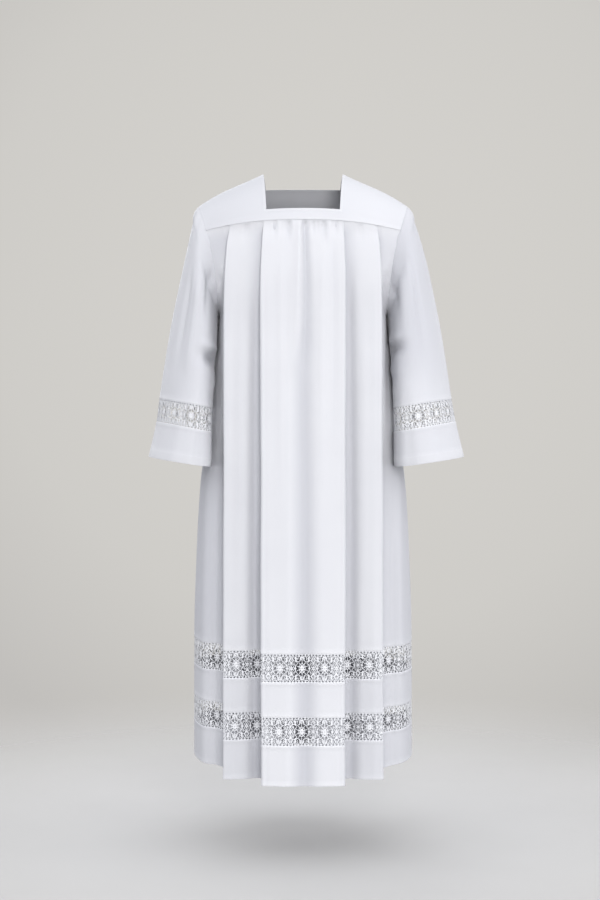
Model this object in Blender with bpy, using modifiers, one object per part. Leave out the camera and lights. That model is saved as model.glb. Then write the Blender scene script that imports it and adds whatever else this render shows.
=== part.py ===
"""Surplice in its worn form: a long square-necked surplice of white cloth on a yoke,
with a pleated body, bell sleeves, two rows of lace insertion round the skirt and one
round each sleeve. The garment is hollow: neck, armholes, cuffs and hem are open.

Frame: metres, +Z up, the front faces -Y, the wearer's left is +X. The origin is the
middle of the neck opening on the shoulder line, where the wearer's shoulders hold it.

Every piece is an open sheet lofted through plan sections and given its wall with
Solidify. A body section runs from the middle out to the side: centre panel, turn of
the fold, underlay going back behind it, inner turn, next panel, and so on. The folds lie
flat on each other at the yoke and open towards the hem.
"""

import math

import bpy
import numpy as np

# ---------------------------------------------------------------- sizes
WALL = 0.0012  # cloth and lace wall
SEAM = 0.0003  # clear gap between pieces that are sewn edge to edge
# Where two pieces meet at an angle their walls' corners lean together, so their middle
# surfaces stand further apart to leave the same clear gap.
SHOULDER_SEAM = 0.0007
YOKE_SEAM = 0.0007
ARMHOLE_SEAM = 0.0013

SHOULDER_TOP = 0.002  # height of the shoulder seam at the neck
NECK_HALF_TOP = 0.0875  # half width of the square neck on the shoulder line
NECK_HALF_FRONT = 0.0780  # half width of the square neck along its front edge
NECK_FRONT_Z = -0.0795  # height of the neck's front edge
NECK_BACK_Y = 0.056  # depth of the neck's back edge
YOKE_SEAM_FRONT = -0.1005  # height of the yoke seam at the middle, front
YOKE_SEAM_BACK = -0.1160  # and back
YOKE_SIDE_FRONT_Y = -0.1065  # depth of the yoke seam under the neck's corners, front
YOKE_SIDE_BACK_Y = 0.0965  # and back
YOKE_TURN = math.radians(68.0)  # how far the yoke has turned down at its seam
FOLD_TURN = 0.010  # depth of a fold's turn once the pleat has opened

ARMHOLE_MID_Z = -0.1865
ARMHOLE_HALF_Z = 0.1185
ARMHOLE_HALF_Y = 0.0830
ARMHOLE_LOW_X = 0.1830
ARMHOLE_TOP_X = 0.2275
ARMHOLE_YOKE_ANGLE = math.radians(57.5)  # from the shoulder point to the yoke seam
# Angles, in degrees from the shoulder point, of the points that yoke, body and sleeve share.
ARMHOLE_KNOTS = (0.0, 19.2, 38.3, 57.5, 80.0, 104.0, 128.0, 154.0, 180.0)

# Plan sections of the front, one row for each height. Columns: height of the middle, how far
# forward the middle is, dip of the soft fold down the middle, the first fold's edge (x, y), how
# far its underlay goes back behind it, how deep the step to the next panel is, the same
# four for the second fold.
FRONT_COLUMNS = ("z", "mid_y", "dip", "x1", "y1", "under1", "step1", "x2", "y2", "under2", "step2")
FRONT = (
    (-0.1005, -0.1080, 0.0010, 0.0848, -0.1065, 0.030, 0.0050, 0.1568, -0.0915, 0.022, 0.0050),
    (-0.1500, -0.1200, 0.0040, 0.0878, -0.1185, 0.034, 0.0070, 0.1635, -0.1020, 0.024, 0.0070),
    (-0.2200, -0.1320, 0.0060, 0.0903, -0.1300, 0.040, 0.0110, 0.1672, -0.1130, 0.026, 0.0110),
    (-0.3180, -0.1400, 0.0050, 0.0911, -0.1385, 0.046, 0.0180, 0.1695, -0.1210, 0.028, 0.0180),
    (-0.4200, -0.1495, 0.0040, 0.0908, -0.1480, 0.049, 0.0215, 0.1700, -0.1290, 0.029, 0.0225),
    (-0.5600, -0.1620, 0.0040, 0.0901, -0.1600, 0.053, 0.0255, 0.1700, -0.1375, 0.030, 0.0280),
    (-0.6800, -0.1725, 0.0045, 0.0897, -0.1705, 0.055, 0.0290, 0.1701, -0.1440, 0.031, 0.0325),
    (-0.8400, -0.1860, 0.0050, 0.0899, -0.1835, 0.058, 0.0330, 0.1702, -0.1515, 0.032, 0.0370),
    (-1.0200, -0.2010, 0.0060, 0.0893, -0.1980, 0.060, 0.0380, 0.1704, -0.1600, 0.034, 0.0430),
    (-1.2960, -0.2325, 0.0080, 0.0882, -0.2290, 0.064, 0.0450, 0.1710, -0.1780, 0.036, 0.0520),
)

# The same for the back, whose pleats are shallower.
BACK_COLUMNS = FRONT_COLUMNS
BACK = (
    (-0.1160, 0.0980, 0.0010, 0.0760, 0.0965, 0.026, 0.0050, 0.1480, 0.0855, 0.020, 0.0050),
    (-0.1600, 0.1080, 0.0020, 0.0785, 0.1065, 0.028, 0.0060, 0.1520, 0.0945, 0.022, 0.0060),
    (-0.2200, 0.1160, 0.0030, 0.0800, 0.1145, 0.030, 0.0090, 0.1545, 0.1010, 0.022, 0.0090),
    (-0.3180, 0.1230, 0.0030, 0.0810, 0.1215, 0.032, 0.0130, 0.1570, 0.1060, 0.024, 0.0130),
    (-0.4200, 0.1290, 0.0030, 0.0815, 0.1275, 0.033, 0.0160, 0.1580, 0.1100, 0.025, 0.0160),
    (-0.5600, 0.1390, 0.0040, 0.0820, 0.1370, 0.035, 0.0200, 0.1610, 0.1170, 0.026, 0.0210),
    (-0.6800, 0.1480, 0.0040, 0.0830, 0.1455, 0.037, 0.0230, 0.1625, 0.1230, 0.027, 0.0250),
    (-0.8400, 0.1600, 0.0040, 0.0835, 0.1575, 0.040, 0.0270, 0.1640, 0.1320, 0.028, 0.0300),
    (-1.0200, 0.1760, 0.0050, 0.0840, 0.1730, 0.042, 0.0320, 0.1650, 0.1430, 0.030, 0.0360),
    (-1.2960, 0.2050, 0.0060, 0.0845, 0.2010, 0.046, 0.0400, 0.1665, 0.1620, 0.032, 0.0460),
)

# Where the side seams run below the armholes: height, half width, and how far behind the
# shoulder's line. Beside the forearms they lie behind the sleeves.
SIDE_COLUMNS = ("z", "x", "y")
SIDE = (
    (-0.3180, 0.1815, 0.000),
    (-0.3600, 0.1895, 0.016),
    (-0.4200, 0.1965, 0.026),
    (-0.4900, 0.2035, 0.028),
    (-0.5600, 0.2090, 0.026),
    (-0.6800, 0.2255, 0.012),
    (-0.8400, 0.2345, 0.000),
    (-1.0200, 0.2400, 0.000),
    (-1.2960, 0.2410, 0.000),
)

# Lines that run round the skirt. Columns: name, height at the middle, how much higher the
# line is at the side seam on the wearer's left and right.
LINES = {
    "underarm": (-0.3150, 0.010, 0.010),
    "upper_lace_top": (-1.0205, 0.001, 0.011),
    "upper_lace_bottom": (-1.0800, 0.002, 0.013),
    "lower_lace_top": (-1.1530, 0.004, 0.019),
    "lower_lace_bottom": (-1.2120, 0.012, 0.021),
    "hem": (-1.2960, 0.024, 0.027),
}

# Sleeve sections, from the armhole down. Columns: the outer edge (x on the wearer's left,
# x on the right, z), the inner edge (x, z), how far forward the middle lies, half the depth,
# and how far the front half leans in towards the body.
SLEEVE_COLUMNS = ("outer_l", "outer_r", "outer_z", "inner_x", "inner_z", "mid_y", "half_y", "lean")
SLEEVE = (
    (0.2430, 0.2395, -0.1010, 0.1850, -0.3150, -0.003, 0.0900, 0.002),
    (0.2580, 0.2500, -0.1460, 0.1855, -0.3250, -0.010, 0.0945, 0.006),
    (0.2720, 0.2615, -0.1980, 0.1860, -0.3420, -0.018, 0.0960, 0.010),
    (0.2865, 0.2760, -0.2620, 0.1870, -0.3680, -0.026, 0.0950, 0.016),
    (0.3010, 0.2905, -0.3350, 0.1905, -0.4080, -0.036, 0.0930, 0.021),
    (0.3135, 0.3030, -0.4100, 0.1945, -0.4540, -0.046, 0.0930, 0.026),
    (0.3250, 0.3145, -0.4860, 0.1985, -0.5040, -0.055, 0.0950, 0.030),
    (0.3340, 0.3210, -0.5360, 0.2000, -0.5560, -0.060, 0.0970, 0.031),
    (0.3515, 0.3375, -0.6120, 0.2005, -0.6300, -0.066, 0.1010, 0.032),
)

# How many quads each stretch of a half body section gets: centre panel, fold turn,
# underlay, inner turn, second panel, fold turn, underlay, inner turn, outer panel.
STRETCHES = (4, 3, 1, 3, 4, 3, 1, 3, 5)
# Share of the side's rise or fall that each stretch has reached at its end.
STRETCH_RISE = (0.03, 0.06, 0.27, 0.31, 0.13, 0.17, 0.48, 0.53, 1.0)

WHITE = (0.86, 0.865, 0.885, 1.0)
LACE_WHITE = (0.80, 0.805, 0.825, 1.0)


# ---------------------------------------------------------------- curves
def column_at(rows, columns, where):
    """Every column of a table at a height between its rows, by a monotone cubic."""
    data = np.array(rows, float)
    if data[0, 0] > data[-1, 0]:
        data = data[::-1]
    x = data[:, 0]
    y = data[:, 1:]
    step = np.diff(x)
    slope = np.diff(y, axis=0) / step[:, None]
    tangent = np.zeros_like(y)
    tangent[0], tangent[-1] = slope[0], slope[-1]
    for i in range(1, len(x) - 1):
        a, b = slope[i - 1], slope[i]
        same = a * b > 0
        w1, w2 = 2 * step[i] + step[i - 1], step[i] + 2 * step[i - 1]
        safe_a, safe_b = np.where(same, a, 1.0), np.where(same, b, 1.0)
        tangent[i] = np.where(same, (w1 + w2) / (w1 / safe_a + w2 / safe_b), 0.0)
    where = min(max(where, x[0]), x[-1])
    i = min(max(int(np.searchsorted(x, where)) - 1, 0), len(x) - 2)
    h = step[i]
    t = (where - x[i]) / h
    value = (
        (2 * t**3 - 3 * t**2 + 1) * y[i]
        + (t**3 - 2 * t**2 + t) * h * tangent[i]
        + (-2 * t**3 + 3 * t**2) * y[i + 1]
        + (t**3 - t**2) * h * tangent[i + 1]
    )
    return dict(zip(columns[1:], value))


def armhole_curve(angle):
    """Point of the armhole seam: angle 0 is the shoulder point, a right angle its front, pi the underarm."""
    z = ARMHOLE_MID_Z + ARMHOLE_HALF_Z * math.cos(angle)
    rise = (z - (ARMHOLE_MID_Z - ARMHOLE_HALF_Z)) / (2 * ARMHOLE_HALF_Z)
    x = ARMHOLE_LOW_X + (ARMHOLE_TOP_X - ARMHOLE_LOW_X) * rise**2.1
    return np.array((x, -ARMHOLE_HALF_Y * math.sin(angle), z))


def armhole(angle):
    """The same on the straight stretches between the knots, so that the pieces' edges match."""
    front = math.degrees(angle) % 360.0
    back = front > 180.0
    front = 360.0 - front if back else front
    k = 1
    while ARMHOLE_KNOTS[k] < front - 1e-9:
        k += 1
    low, high = ARMHOLE_KNOTS[k - 1], ARMHOLE_KNOTS[k]
    point = lerp(armhole_curve(math.radians(low)), armhole_curve(math.radians(high)), (front - low) / (high - low))
    return point * np.array((1.0, -1.0 if back else 1.0, 1.0))


def lerp(a, b, t):
    return a + (b - a) * t


def seam_share(x, end_x):
    """Share of the yoke seam's fall that it has reached at x."""
    return (abs(x) / end_x) ** 2.2


def half_section(c, end, front):
    """Plan points (x, y, share of the rise) of half a body section, from the middle to its outer end.

    All depths are worked out as if for the front, where forward is -Y, and turned round for the back.
    """
    turn = 1.0 if front else -1.0
    mid_y, y1, y2 = turn * c["mid_y"], turn * c["y1"], turn * c["y2"]
    end_x, end_y = end[0], turn * end[1]
    points = []

    def stretch(index, curve):
        count = STRETCHES[index]
        start = STRETCH_RISE[index - 1] if index else 0.0
        for k in range(0 if index == 0 else 1, count + 1):
            t = k / count
            x, y = curve(t)
            points.append((x, turn * y, lerp(start, STRETCH_RISE[index], t)))

    def centre_panel(t):
        x = lerp(0.0, fold1[0], t)
        y = lerp(mid_y, y1, t**2) + c["dip"] * max(0.0, 1 - 3.0 * t) ** 2
        return x, y

    def turned(x, y, width, depth, inwards):
        def curve(t):
            a = math.pi * t
            return x + inwards * width * math.sin(a), y + depth * (1 - math.cos(a)) / 2

        return curve

    def straight(a, b, power=1.0, bulge=0.0):
        return lambda t: (lerp(a[0], b[0], t), lerp(a[1], b[1], t**power) - bulge * 4 * t * (1 - t))

    # First fold: the edge turns under and its underlay goes back towards the middle.
    d1 = min(c["step1"] * 0.5, FOLD_TURN)
    fold1 = (c["x1"] - d1 / 2, y1)
    back1 = (fold1[0], y1 + d1)
    inner1 = (c["x1"] - c["under1"], y1 + c["step1"] - d1)
    next1 = (inner1[0], y1 + c["step1"])
    # Second fold.
    d2 = min(c["step2"] * 0.5, FOLD_TURN)
    fold2 = (c["x2"] - d2 / 2, y2)
    back2 = (fold2[0], y2 + d2)
    inner2 = (c["x2"] - c["under2"], y2 + c["step2"] - d2)
    next2 = (inner2[0], y2 + c["step2"])

    stretch(0, centre_panel)
    stretch(1, turned(*fold1, d1 / 2, d1, 1))
    stretch(2, straight(back1, inner1))
    stretch(3, turned(*inner1, d1 / 2, d1, -1))
    stretch(4, straight(next1, fold2, power=1.8))
    stretch(5, turned(*fold2, d2 / 2, d2, 1))
    stretch(6, straight(back2, inner2))
    stretch(7, turned(*inner2, d2 / 2, d2, -1))

    # Outer panel: forward-facing where it comes out, side-facing at the side seam.
    open_side = min(1.0, abs(end_y) / 0.07) if end[2] > -0.306 else 0.0
    corner = (lerp(next2[0], end_x, lerp(0.96, 0.60, open_side)), lerp(next2[1], end_y, lerp(0.10, 0.30, open_side)))

    def outer_panel(t):
        a, b, d = (1 - t) ** 2, 2 * t * (1 - t), t**2
        return (
            a * next2[0] + b * corner[0] + d * end_x,
            a * next2[1] + b * corner[1] + d * end_y,
        )

    stretch(8, outer_panel)
    return points


def body_row(front, z_mid, end_left, end_right, level=0.0):
    """One whole section of the front or back, from the wearer's right to the left.

    Each end is the point on the armhole or side seam that the row runs to. With level 1 the
    row keeps to the yoke seam's line, which falls with the distance from the middle; with
    level 0 it rises or falls stretch by stretch along the cloth.
    """
    rows, columns = (FRONT, FRONT_COLUMNS) if front else (BACK, BACK_COLUMNS)
    c = column_at(rows, columns, z_mid)
    halves = []
    for side, end in ((-1, end_right), (1, end_left)):
        half = half_section(c, end, front)
        halves.append(
            [(side * x, y, z_mid + (end[2] - z_mid) * lerp(rise, seam_share(x, end[0]), level)) for x, y, rise in half]
        )
    return halves[0][:0:-1] + halves[1]


def side_ends(front, z_mid, rise_left, rise_right):
    """Where a row below the underarm meets the side seams."""
    side = column_at(SIDE, SIDE_COLUMNS, z_mid)
    x, y = side["x"], side["y"] + (-SEAM / 2 if front else SEAM / 2)
    return np.array((x, y, z_mid + rise_left)), np.array((x, y, z_mid + rise_right))


def armhole_end(angle, front):
    point = armhole(angle)
    if not front:
        point[1] = -point[1]
    return point


def rise_at(z):
    """How much higher than the middle a row is at the left and right side seams."""
    table = [(line[0], line[1], line[2]) for line in LINES.values()]
    table.sort()
    c = column_at(table, ("z", "left", "right"), z)
    return c["left"], c["right"]


def panel_rows(front):
    """Rows of the pleated body from the yoke seam to the upper lace."""
    seam_z = YOKE_SEAM_FRONT if front else YOKE_SEAM_BACK
    under_z = LINES["underarm"][0]
    rows = []
    for angle_deg in ARMHOLE_KNOTS[3:8]:
        angle = math.radians(angle_deg)
        t = (angle_deg - 57.5) / 122.5
        end = armhole_end(angle, front)
        z_mid = end[2] + lerp(seam_z - armhole(ARMHOLE_YOKE_ANGLE)[2], under_z + 0.305, t)
        if not rows:
            z_mid -= YOKE_SEAM / 2
            end = end - np.array((0, 0, YOKE_SEAM / 2))
        rows.append(body_row(front, z_mid, end, end, level=1 - t))
    for z_mid in (under_z - 0.004, -0.420, -0.560, -0.800):
        rows.append(body_row(front, z_mid, *side_ends(front, z_mid, *rise_at(z_mid))))
    return rows


def strip_rows(front, top, bottom, last=False):
    """Rows of a strip between two of the lines round the skirt."""
    rows = []
    for name, shift in ((top, -SEAM / 2), (bottom, 0.0 if last else SEAM / 2)):
        z, left, right = LINES[name]
        rows.append(body_row(front, z + shift, *side_ends(front, z + shift, left, right)))
    return rows


def yoke_point(front, across, down):
    """Point of the yoke beside the neck: across 0 is the neck edge and 1 the armhole, down 0 is the
    shoulder seam and 1 the yoke seam."""
    seam_z = YOKE_SEAM_FRONT if front else YOKE_SEAM_BACK
    seam_y = YOKE_SIDE_FRONT_Y if front else YOKE_SIDE_BACK_Y
    end = armhole_end(ARMHOLE_YOKE_ANGLE, front)
    turn = lerp(YOKE_TURN, ARMHOLE_YOKE_ANGLE, across)
    arm = armhole(ARMHOLE_YOKE_ANGLE * down)
    neck_x = lerp(NECK_HALF_TOP, NECK_HALF_FRONT - 0.001, down)
    x = lerp(neck_x, arm[0], across)
    top_z = lerp(SHOULDER_TOP, armhole(0.0)[2], across) + 0.008 * math.sin(math.pi * across) * across
    bottom_z = lerp(seam_z, end[2], seam_share(lerp(NECK_HALF_FRONT - 0.001, end[0], across), end[0]))
    edge_y = lerp(seam_y, end[1], across**1.8)
    y = edge_y * math.sin(turn * down) / math.sin(turn)
    z = top_z + (bottom_z - top_z) * (1 - math.cos(turn * down)) / (1 - math.cos(turn))
    return np.array((x, y, z))


def neck_share(front):
    """How far down the yoke the neck's front or back edge lies."""
    low, high = 0.0, 1.0
    for _ in range(40):
        mid = (low + high) / 2
        point = yoke_point(front, 0.0, mid)
        past = point[2] < NECK_FRONT_Z if front else point[1] > NECK_BACK_Y
        low, high = (low, mid) if past else (mid, high)
    return (low + high) / 2


def sleeve_row(index, left, offset=0.0):
    """One ring of a sleeve at a place along the table. 0 is the armhole, 1 the table's first row."""
    rows = [(float(k + 1),) + row for k, row in enumerate(SLEEVE)]
    ring = []
    for degrees in ARMHOLE_KNOTS + tuple(360.0 - a for a in ARMHOLE_KNOTS[-2:0:-1]):
        angle = math.radians(degrees)
        if index <= 0:
            point = armhole(angle)
            away = np.array((1.0, 0.0, -0.25 + 0.25 * math.cos(angle)))
            point = point + away * offset
        else:
            c = column_at(rows, ("row",) + SLEEVE_COLUMNS, index)
            outer = c["outer_l"] if left else c["outer_r"]
            half = (outer - c["inner_x"]) / 2
            wide = math.sqrt(max(half**2 - c["lean"] ** 2, 1e-9))
            x = (outer + c["inner_x"]) / 2 + wide * math.cos(angle) - c["lean"] * math.sin(angle)
            y = c["mid_y"] - c["half_y"] * math.sin(angle)
            z = lerp(c["outer_z"], c["inner_z"], (1 - math.cos(angle)) / 2)
            point = np.array((x, y, z + offset))
        ring.append(point)
    side = 1 if left else -1
    return [(side * p[0], p[1], p[2]) for p in ring]


# ---------------------------------------------------------------- solids
def cloth_material(name, colour, roughness):
    material = bpy.data.materials.new(name)
    material.use_nodes = True
    shader = material.node_tree.nodes["Principled BSDF"]
    shader.inputs["Base Color"].default_value = colour
    shader.inputs["Roughness"].default_value = roughness
    shader.inputs["Metallic"].default_value = 0.0
    material.diffuse_color = colour
    return material


def sheet(name, points, faces, collection, colour=WHITE, roughness=0.75):
    """A named sheet of cloth with its wall, from the points and quads of its middle surface."""
    mesh = bpy.data.meshes.new(name)
    mesh.from_pydata([tuple(p) for p in points], [], faces)
    mesh.validate()
    mesh.update()
    item = bpy.data.objects.new(name, mesh)
    collection.objects.link(item)
    item.data.materials.append(cloth_material(name, colour, roughness))
    wall = item.modifiers.new("wall", "SOLIDIFY")
    wall.thickness = WALL
    wall.offset = 0.0
    wall.use_even_offset = True
    wall.use_rim = True
    mesh.shade_smooth()
    return item


def grid(rows, closed=False):
    """Points and quads of a loft through rows of equal length."""
    points = [p for row in rows for p in row]
    count = len(rows[0])
    faces = []
    for r in range(len(rows) - 1):
        for k in range(count if closed else count - 1):
            a = r * count + k
            b = r * count + (k + 1) % count
            faces.append((a, a + count, b + count, b))
    return points, faces


def flipped(faces):
    return [tuple(reversed(face)) for face in faces]


def yoke(front, collection):
    """Half the square yoke, front or back: the two shoulder parts and the band under the neck."""
    cut = neck_share(front)
    downs = sorted([a / 57.5 for a in ARMHOLE_KNOTS[:4]] + [cut])
    across = [k / 5 for k in range(6)]
    band = [k / 6 for k in range(1, 6)]
    points, index = [], {}

    def add(key, point):
        index[key] = len(points)
        points.append(tuple(point))

    gap = np.array((0, -SHOULDER_SEAM / 2 if front else SHOULDER_SEAM / 2, 0))
    for r, down in enumerate(downs):
        for c, a in enumerate(across):
            p = yoke_point(front, a, down)
            if down == 0.0:
                p = p + gap
            if r == len(downs) - 1:
                p = p + np.array((0, 0, YOKE_SEAM / 2))
            add((r, c, 1), p)
            add((r, c, -1), (-p[0], p[1], p[2]))
        if down >= cut - 1e-9:
            edge = points[index[(r, 0, 1)]]
            forward = (1 if front else -1) * -0.0020
            for c, b in enumerate(band):
                s = 1 - 2 * b
                seam_end = armhole_end(ARMHOLE_YOKE_ANGLE, front)
                fall = (YOKE_SEAM_FRONT if front else YOKE_SEAM_BACK) - seam_end[2]
                level = (seam_share(edge[0], seam_end[0]) - seam_share(s * edge[0], seam_end[0])) * fall
                add((r, c, 0), (s * edge[0], edge[1] + forward * (1 - s * s), edge[2] + level))
    faces = []
    for r in range(len(downs) - 1):
        for c in range(len(across) - 1):
            for side in (1, -1):
                quad = (index[(r, c, side)], index[(r, c + 1, side)], index[(r + 1, c + 1, side)], index[(r + 1, c, side)])
                faces.append(quad if side == -1 else tuple(reversed(quad)))
        if downs[r] >= cut - 1e-9:
            line = [(1, 0, 1)] + [(0, c, 0) for c in range(len(band))] + [(-1, 0, -1)]
            keys = [(k[1], k[2]) for k in line]
            for a, b in zip(keys[:-1], keys[1:]):
                faces.append((index[(r,) + a], index[(r,) + b], index[(r + 1,) + b], index[(r + 1,) + a]))
    if not front:
        faces = flipped(faces)
    sheet("yoke_front" if front else "yoke_back", points, faces, collection)


def body(front, collection):
    word = "front" if front else "back"
    pieces = (
        ("panel_" + word, panel_rows(front), None),
        ("lace_upper_" + word, strip_rows(front, "upper_lace_top", "upper_lace_bottom"), LACE_WHITE),
        ("band_" + word, strip_rows(front, "upper_lace_bottom", "lower_lace_top"), None),
        ("lace_lower_" + word, strip_rows(front, "lower_lace_top", "lower_lace_bottom"), LACE_WHITE),
        ("hem_" + word, strip_rows(front, "lower_lace_bottom", "hem", last=True), None),
    )
    z, left, right = LINES["upper_lace_top"]
    pieces[0][1].append(body_row(front, z + SEAM / 2, *side_ends(front, z + SEAM / 2, left, right)))
    for name, rows, colour in pieces:
        points, faces = grid(rows)
        sheet(name, points, faces if not front else flipped(faces), collection, colour or WHITE)


def sleeve(left, collection):
    word = "L" if left else "R"
    rows = [sleeve_row(0, left, ARMHOLE_SEAM)]
    rows += [sleeve_row(k, left) for k in (1, 2, 3, 4, 5, 6)]
    rows.append(sleeve_row(7, left, SEAM / 2))
    lace = [sleeve_row(7, left, -SEAM / 2), sleeve_row(8, left, SEAM / 2)]
    cuff = [sleeve_row(8, left, -SEAM / 2), sleeve_row(9, left)]
    for name, ring, colour in (("sleeve_" + word, rows, WHITE), ("sleeve_lace_" + word, lace, LACE_WHITE), ("cuff_" + word, cuff, WHITE)):
        points, faces = grid(ring, closed=True)
        sheet(name, points, faces if left else flipped(faces), collection, colour)


def main():
    for item in list(bpy.data.objects):
        bpy.data.objects.remove(item, do_unlink=True)
    collection = bpy.data.collections.new("surplice")
    bpy.context.scene.collection.children.link(collection)
    for front in (True, False):
        yoke(front, collection)
        body(front, collection)
    for left in (True, False):
        sleeve(left, collection)


main()
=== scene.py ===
"""Looks of the surplice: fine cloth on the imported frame's form, pierced lace, seams,
stitches, cloth materials, studio light and camera.

The same tables as the solids' give every section, at a finer step, and the creases are
laid on top of them from short tables of their own. Metres, +Z up, the front faces -Y.
"""

import math

import bpy
import numpy as np
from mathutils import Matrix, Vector, geometry

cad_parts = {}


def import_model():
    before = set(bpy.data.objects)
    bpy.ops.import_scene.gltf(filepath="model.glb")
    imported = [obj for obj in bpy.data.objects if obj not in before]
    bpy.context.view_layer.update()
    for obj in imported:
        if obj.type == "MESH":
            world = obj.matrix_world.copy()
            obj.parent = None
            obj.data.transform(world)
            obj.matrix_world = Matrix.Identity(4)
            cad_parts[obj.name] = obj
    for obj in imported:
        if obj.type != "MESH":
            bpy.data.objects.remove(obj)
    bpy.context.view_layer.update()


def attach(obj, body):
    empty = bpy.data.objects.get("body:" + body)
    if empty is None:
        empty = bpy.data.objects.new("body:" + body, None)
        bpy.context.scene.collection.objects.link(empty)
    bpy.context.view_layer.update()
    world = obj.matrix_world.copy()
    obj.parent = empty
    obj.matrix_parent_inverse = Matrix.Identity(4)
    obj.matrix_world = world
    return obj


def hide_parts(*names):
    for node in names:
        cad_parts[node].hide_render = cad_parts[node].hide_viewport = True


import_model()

# ---------------------------------------------------------------- form, as in the solids
SEAM = 0.0003
SHOULDER_TOP = 0.002
NECK_HALF_TOP = 0.0875
NECK_HALF_FRONT = 0.0780
NECK_FRONT_Z = -0.0795
NECK_BACK_Y = 0.056
YOKE_SEAM_FRONT = -0.1005
YOKE_SEAM_BACK = -0.1160
YOKE_SIDE_FRONT_Y = -0.1065
YOKE_SIDE_BACK_Y = 0.0965
YOKE_TURN = math.radians(68.0)
FOLD_TURN = 0.010

ARMHOLE_MID_Z = -0.1865
ARMHOLE_HALF_Z = 0.1185
ARMHOLE_HALF_Y = 0.0830
ARMHOLE_LOW_X = 0.1830
ARMHOLE_TOP_X = 0.2275
ARMHOLE_YOKE_ANGLE = math.radians(57.5)

# Where the side seams run below the armholes: height, half width, and how far behind the
# shoulder's line. Beside the forearms they lie behind the sleeves.
SIDE_COLUMNS = ("z", "x", "y")
SIDE = (
    (-0.3180, 0.1815, 0.000),
    (-0.3600, 0.1895, 0.016),
    (-0.4200, 0.1965, 0.026),
    (-0.4900, 0.2035, 0.028),
    (-0.5600, 0.2090, 0.026),
    (-0.6800, 0.2255, 0.012),
    (-0.8400, 0.2345, 0.000),
    (-1.0200, 0.2400, 0.000),
    (-1.2960, 0.2410, 0.000),
)
SECTION_COLUMNS = ("z", "mid_y", "dip", "x1", "y1", "under1", "step1", "x2", "y2", "under2", "step2")
FRONT = (
    (-0.1005, -0.1080, 0.0010, 0.0848, -0.1065, 0.030, 0.0050, 0.1568, -0.0915, 0.022, 0.0050),
    (-0.1500, -0.1200, 0.0040, 0.0878, -0.1185, 0.034, 0.0070, 0.1635, -0.1020, 0.024, 0.0070),
    (-0.2200, -0.1320, 0.0060, 0.0903, -0.1300, 0.040, 0.0110, 0.1672, -0.1130, 0.026, 0.0110),
    (-0.3180, -0.1400, 0.0050, 0.0911, -0.1385, 0.046, 0.0180, 0.1695, -0.1210, 0.028, 0.0180),
    (-0.4200, -0.1495, 0.0040, 0.0908, -0.1480, 0.049, 0.0215, 0.1700, -0.1290, 0.029, 0.0225),
    (-0.5600, -0.1620, 0.0040, 0.0901, -0.1600, 0.053, 0.0255, 0.1700, -0.1375, 0.030, 0.0280),
    (-0.6800, -0.1725, 0.0045, 0.0897, -0.1705, 0.055, 0.0290, 0.1701, -0.1440, 0.031, 0.0325),
    (-0.8400, -0.1860, 0.0050, 0.0899, -0.1835, 0.058, 0.0330, 0.1702, -0.1515, 0.032, 0.0370),
    (-1.0200, -0.2010, 0.0060, 0.0893, -0.1980, 0.060, 0.0380, 0.1704, -0.1600, 0.034, 0.0430),
    (-1.2960, -0.2325, 0.0080, 0.0882, -0.2290, 0.064, 0.0450, 0.1710, -0.1780, 0.036, 0.0520),
)
BACK = (
    (-0.1160, 0.0980, 0.0010, 0.0760, 0.0965, 0.026, 0.0050, 0.1480, 0.0855, 0.020, 0.0050),
    (-0.1600, 0.1080, 0.0020, 0.0785, 0.1065, 0.028, 0.0060, 0.1520, 0.0945, 0.022, 0.0060),
    (-0.2200, 0.1160, 0.0030, 0.0800, 0.1145, 0.030, 0.0090, 0.1545, 0.1010, 0.022, 0.0090),
    (-0.3180, 0.1230, 0.0030, 0.0810, 0.1215, 0.032, 0.0130, 0.1570, 0.1060, 0.024, 0.0130),
    (-0.4200, 0.1290, 0.0030, 0.0815, 0.1275, 0.033, 0.0160, 0.1580, 0.1100, 0.025, 0.0160),
    (-0.5600, 0.1390, 0.0040, 0.0820, 0.1370, 0.035, 0.0200, 0.1610, 0.1170, 0.026, 0.0210),
    (-0.6800, 0.1480, 0.0040, 0.0830, 0.1455, 0.037, 0.0230, 0.1625, 0.1230, 0.027, 0.0250),
    (-0.8400, 0.1600, 0.0040, 0.0835, 0.1575, 0.040, 0.0270, 0.1640, 0.1320, 0.028, 0.0300),
    (-1.0200, 0.1760, 0.0050, 0.0840, 0.1730, 0.042, 0.0320, 0.1650, 0.1430, 0.030, 0.0360),
    (-1.2960, 0.2050, 0.0060, 0.0845, 0.2010, 0.046, 0.0400, 0.1665, 0.1620, 0.032, 0.0460),
)
LINES = {
    "underarm": (-0.3150, 0.010, 0.010),
    "upper_lace_top": (-1.0205, 0.001, 0.011),
    "upper_lace_bottom": (-1.0800, 0.002, 0.013),
    "lower_lace_top": (-1.1530, 0.004, 0.019),
    "lower_lace_bottom": (-1.2120, 0.012, 0.021),
    "hem": (-1.2960, 0.024, 0.027),
}
SLEEVE_COLUMNS = ("row", "outer_l", "outer_r", "outer_z", "inner_x", "inner_z", "mid_y", "half_y", "lean")
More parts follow.
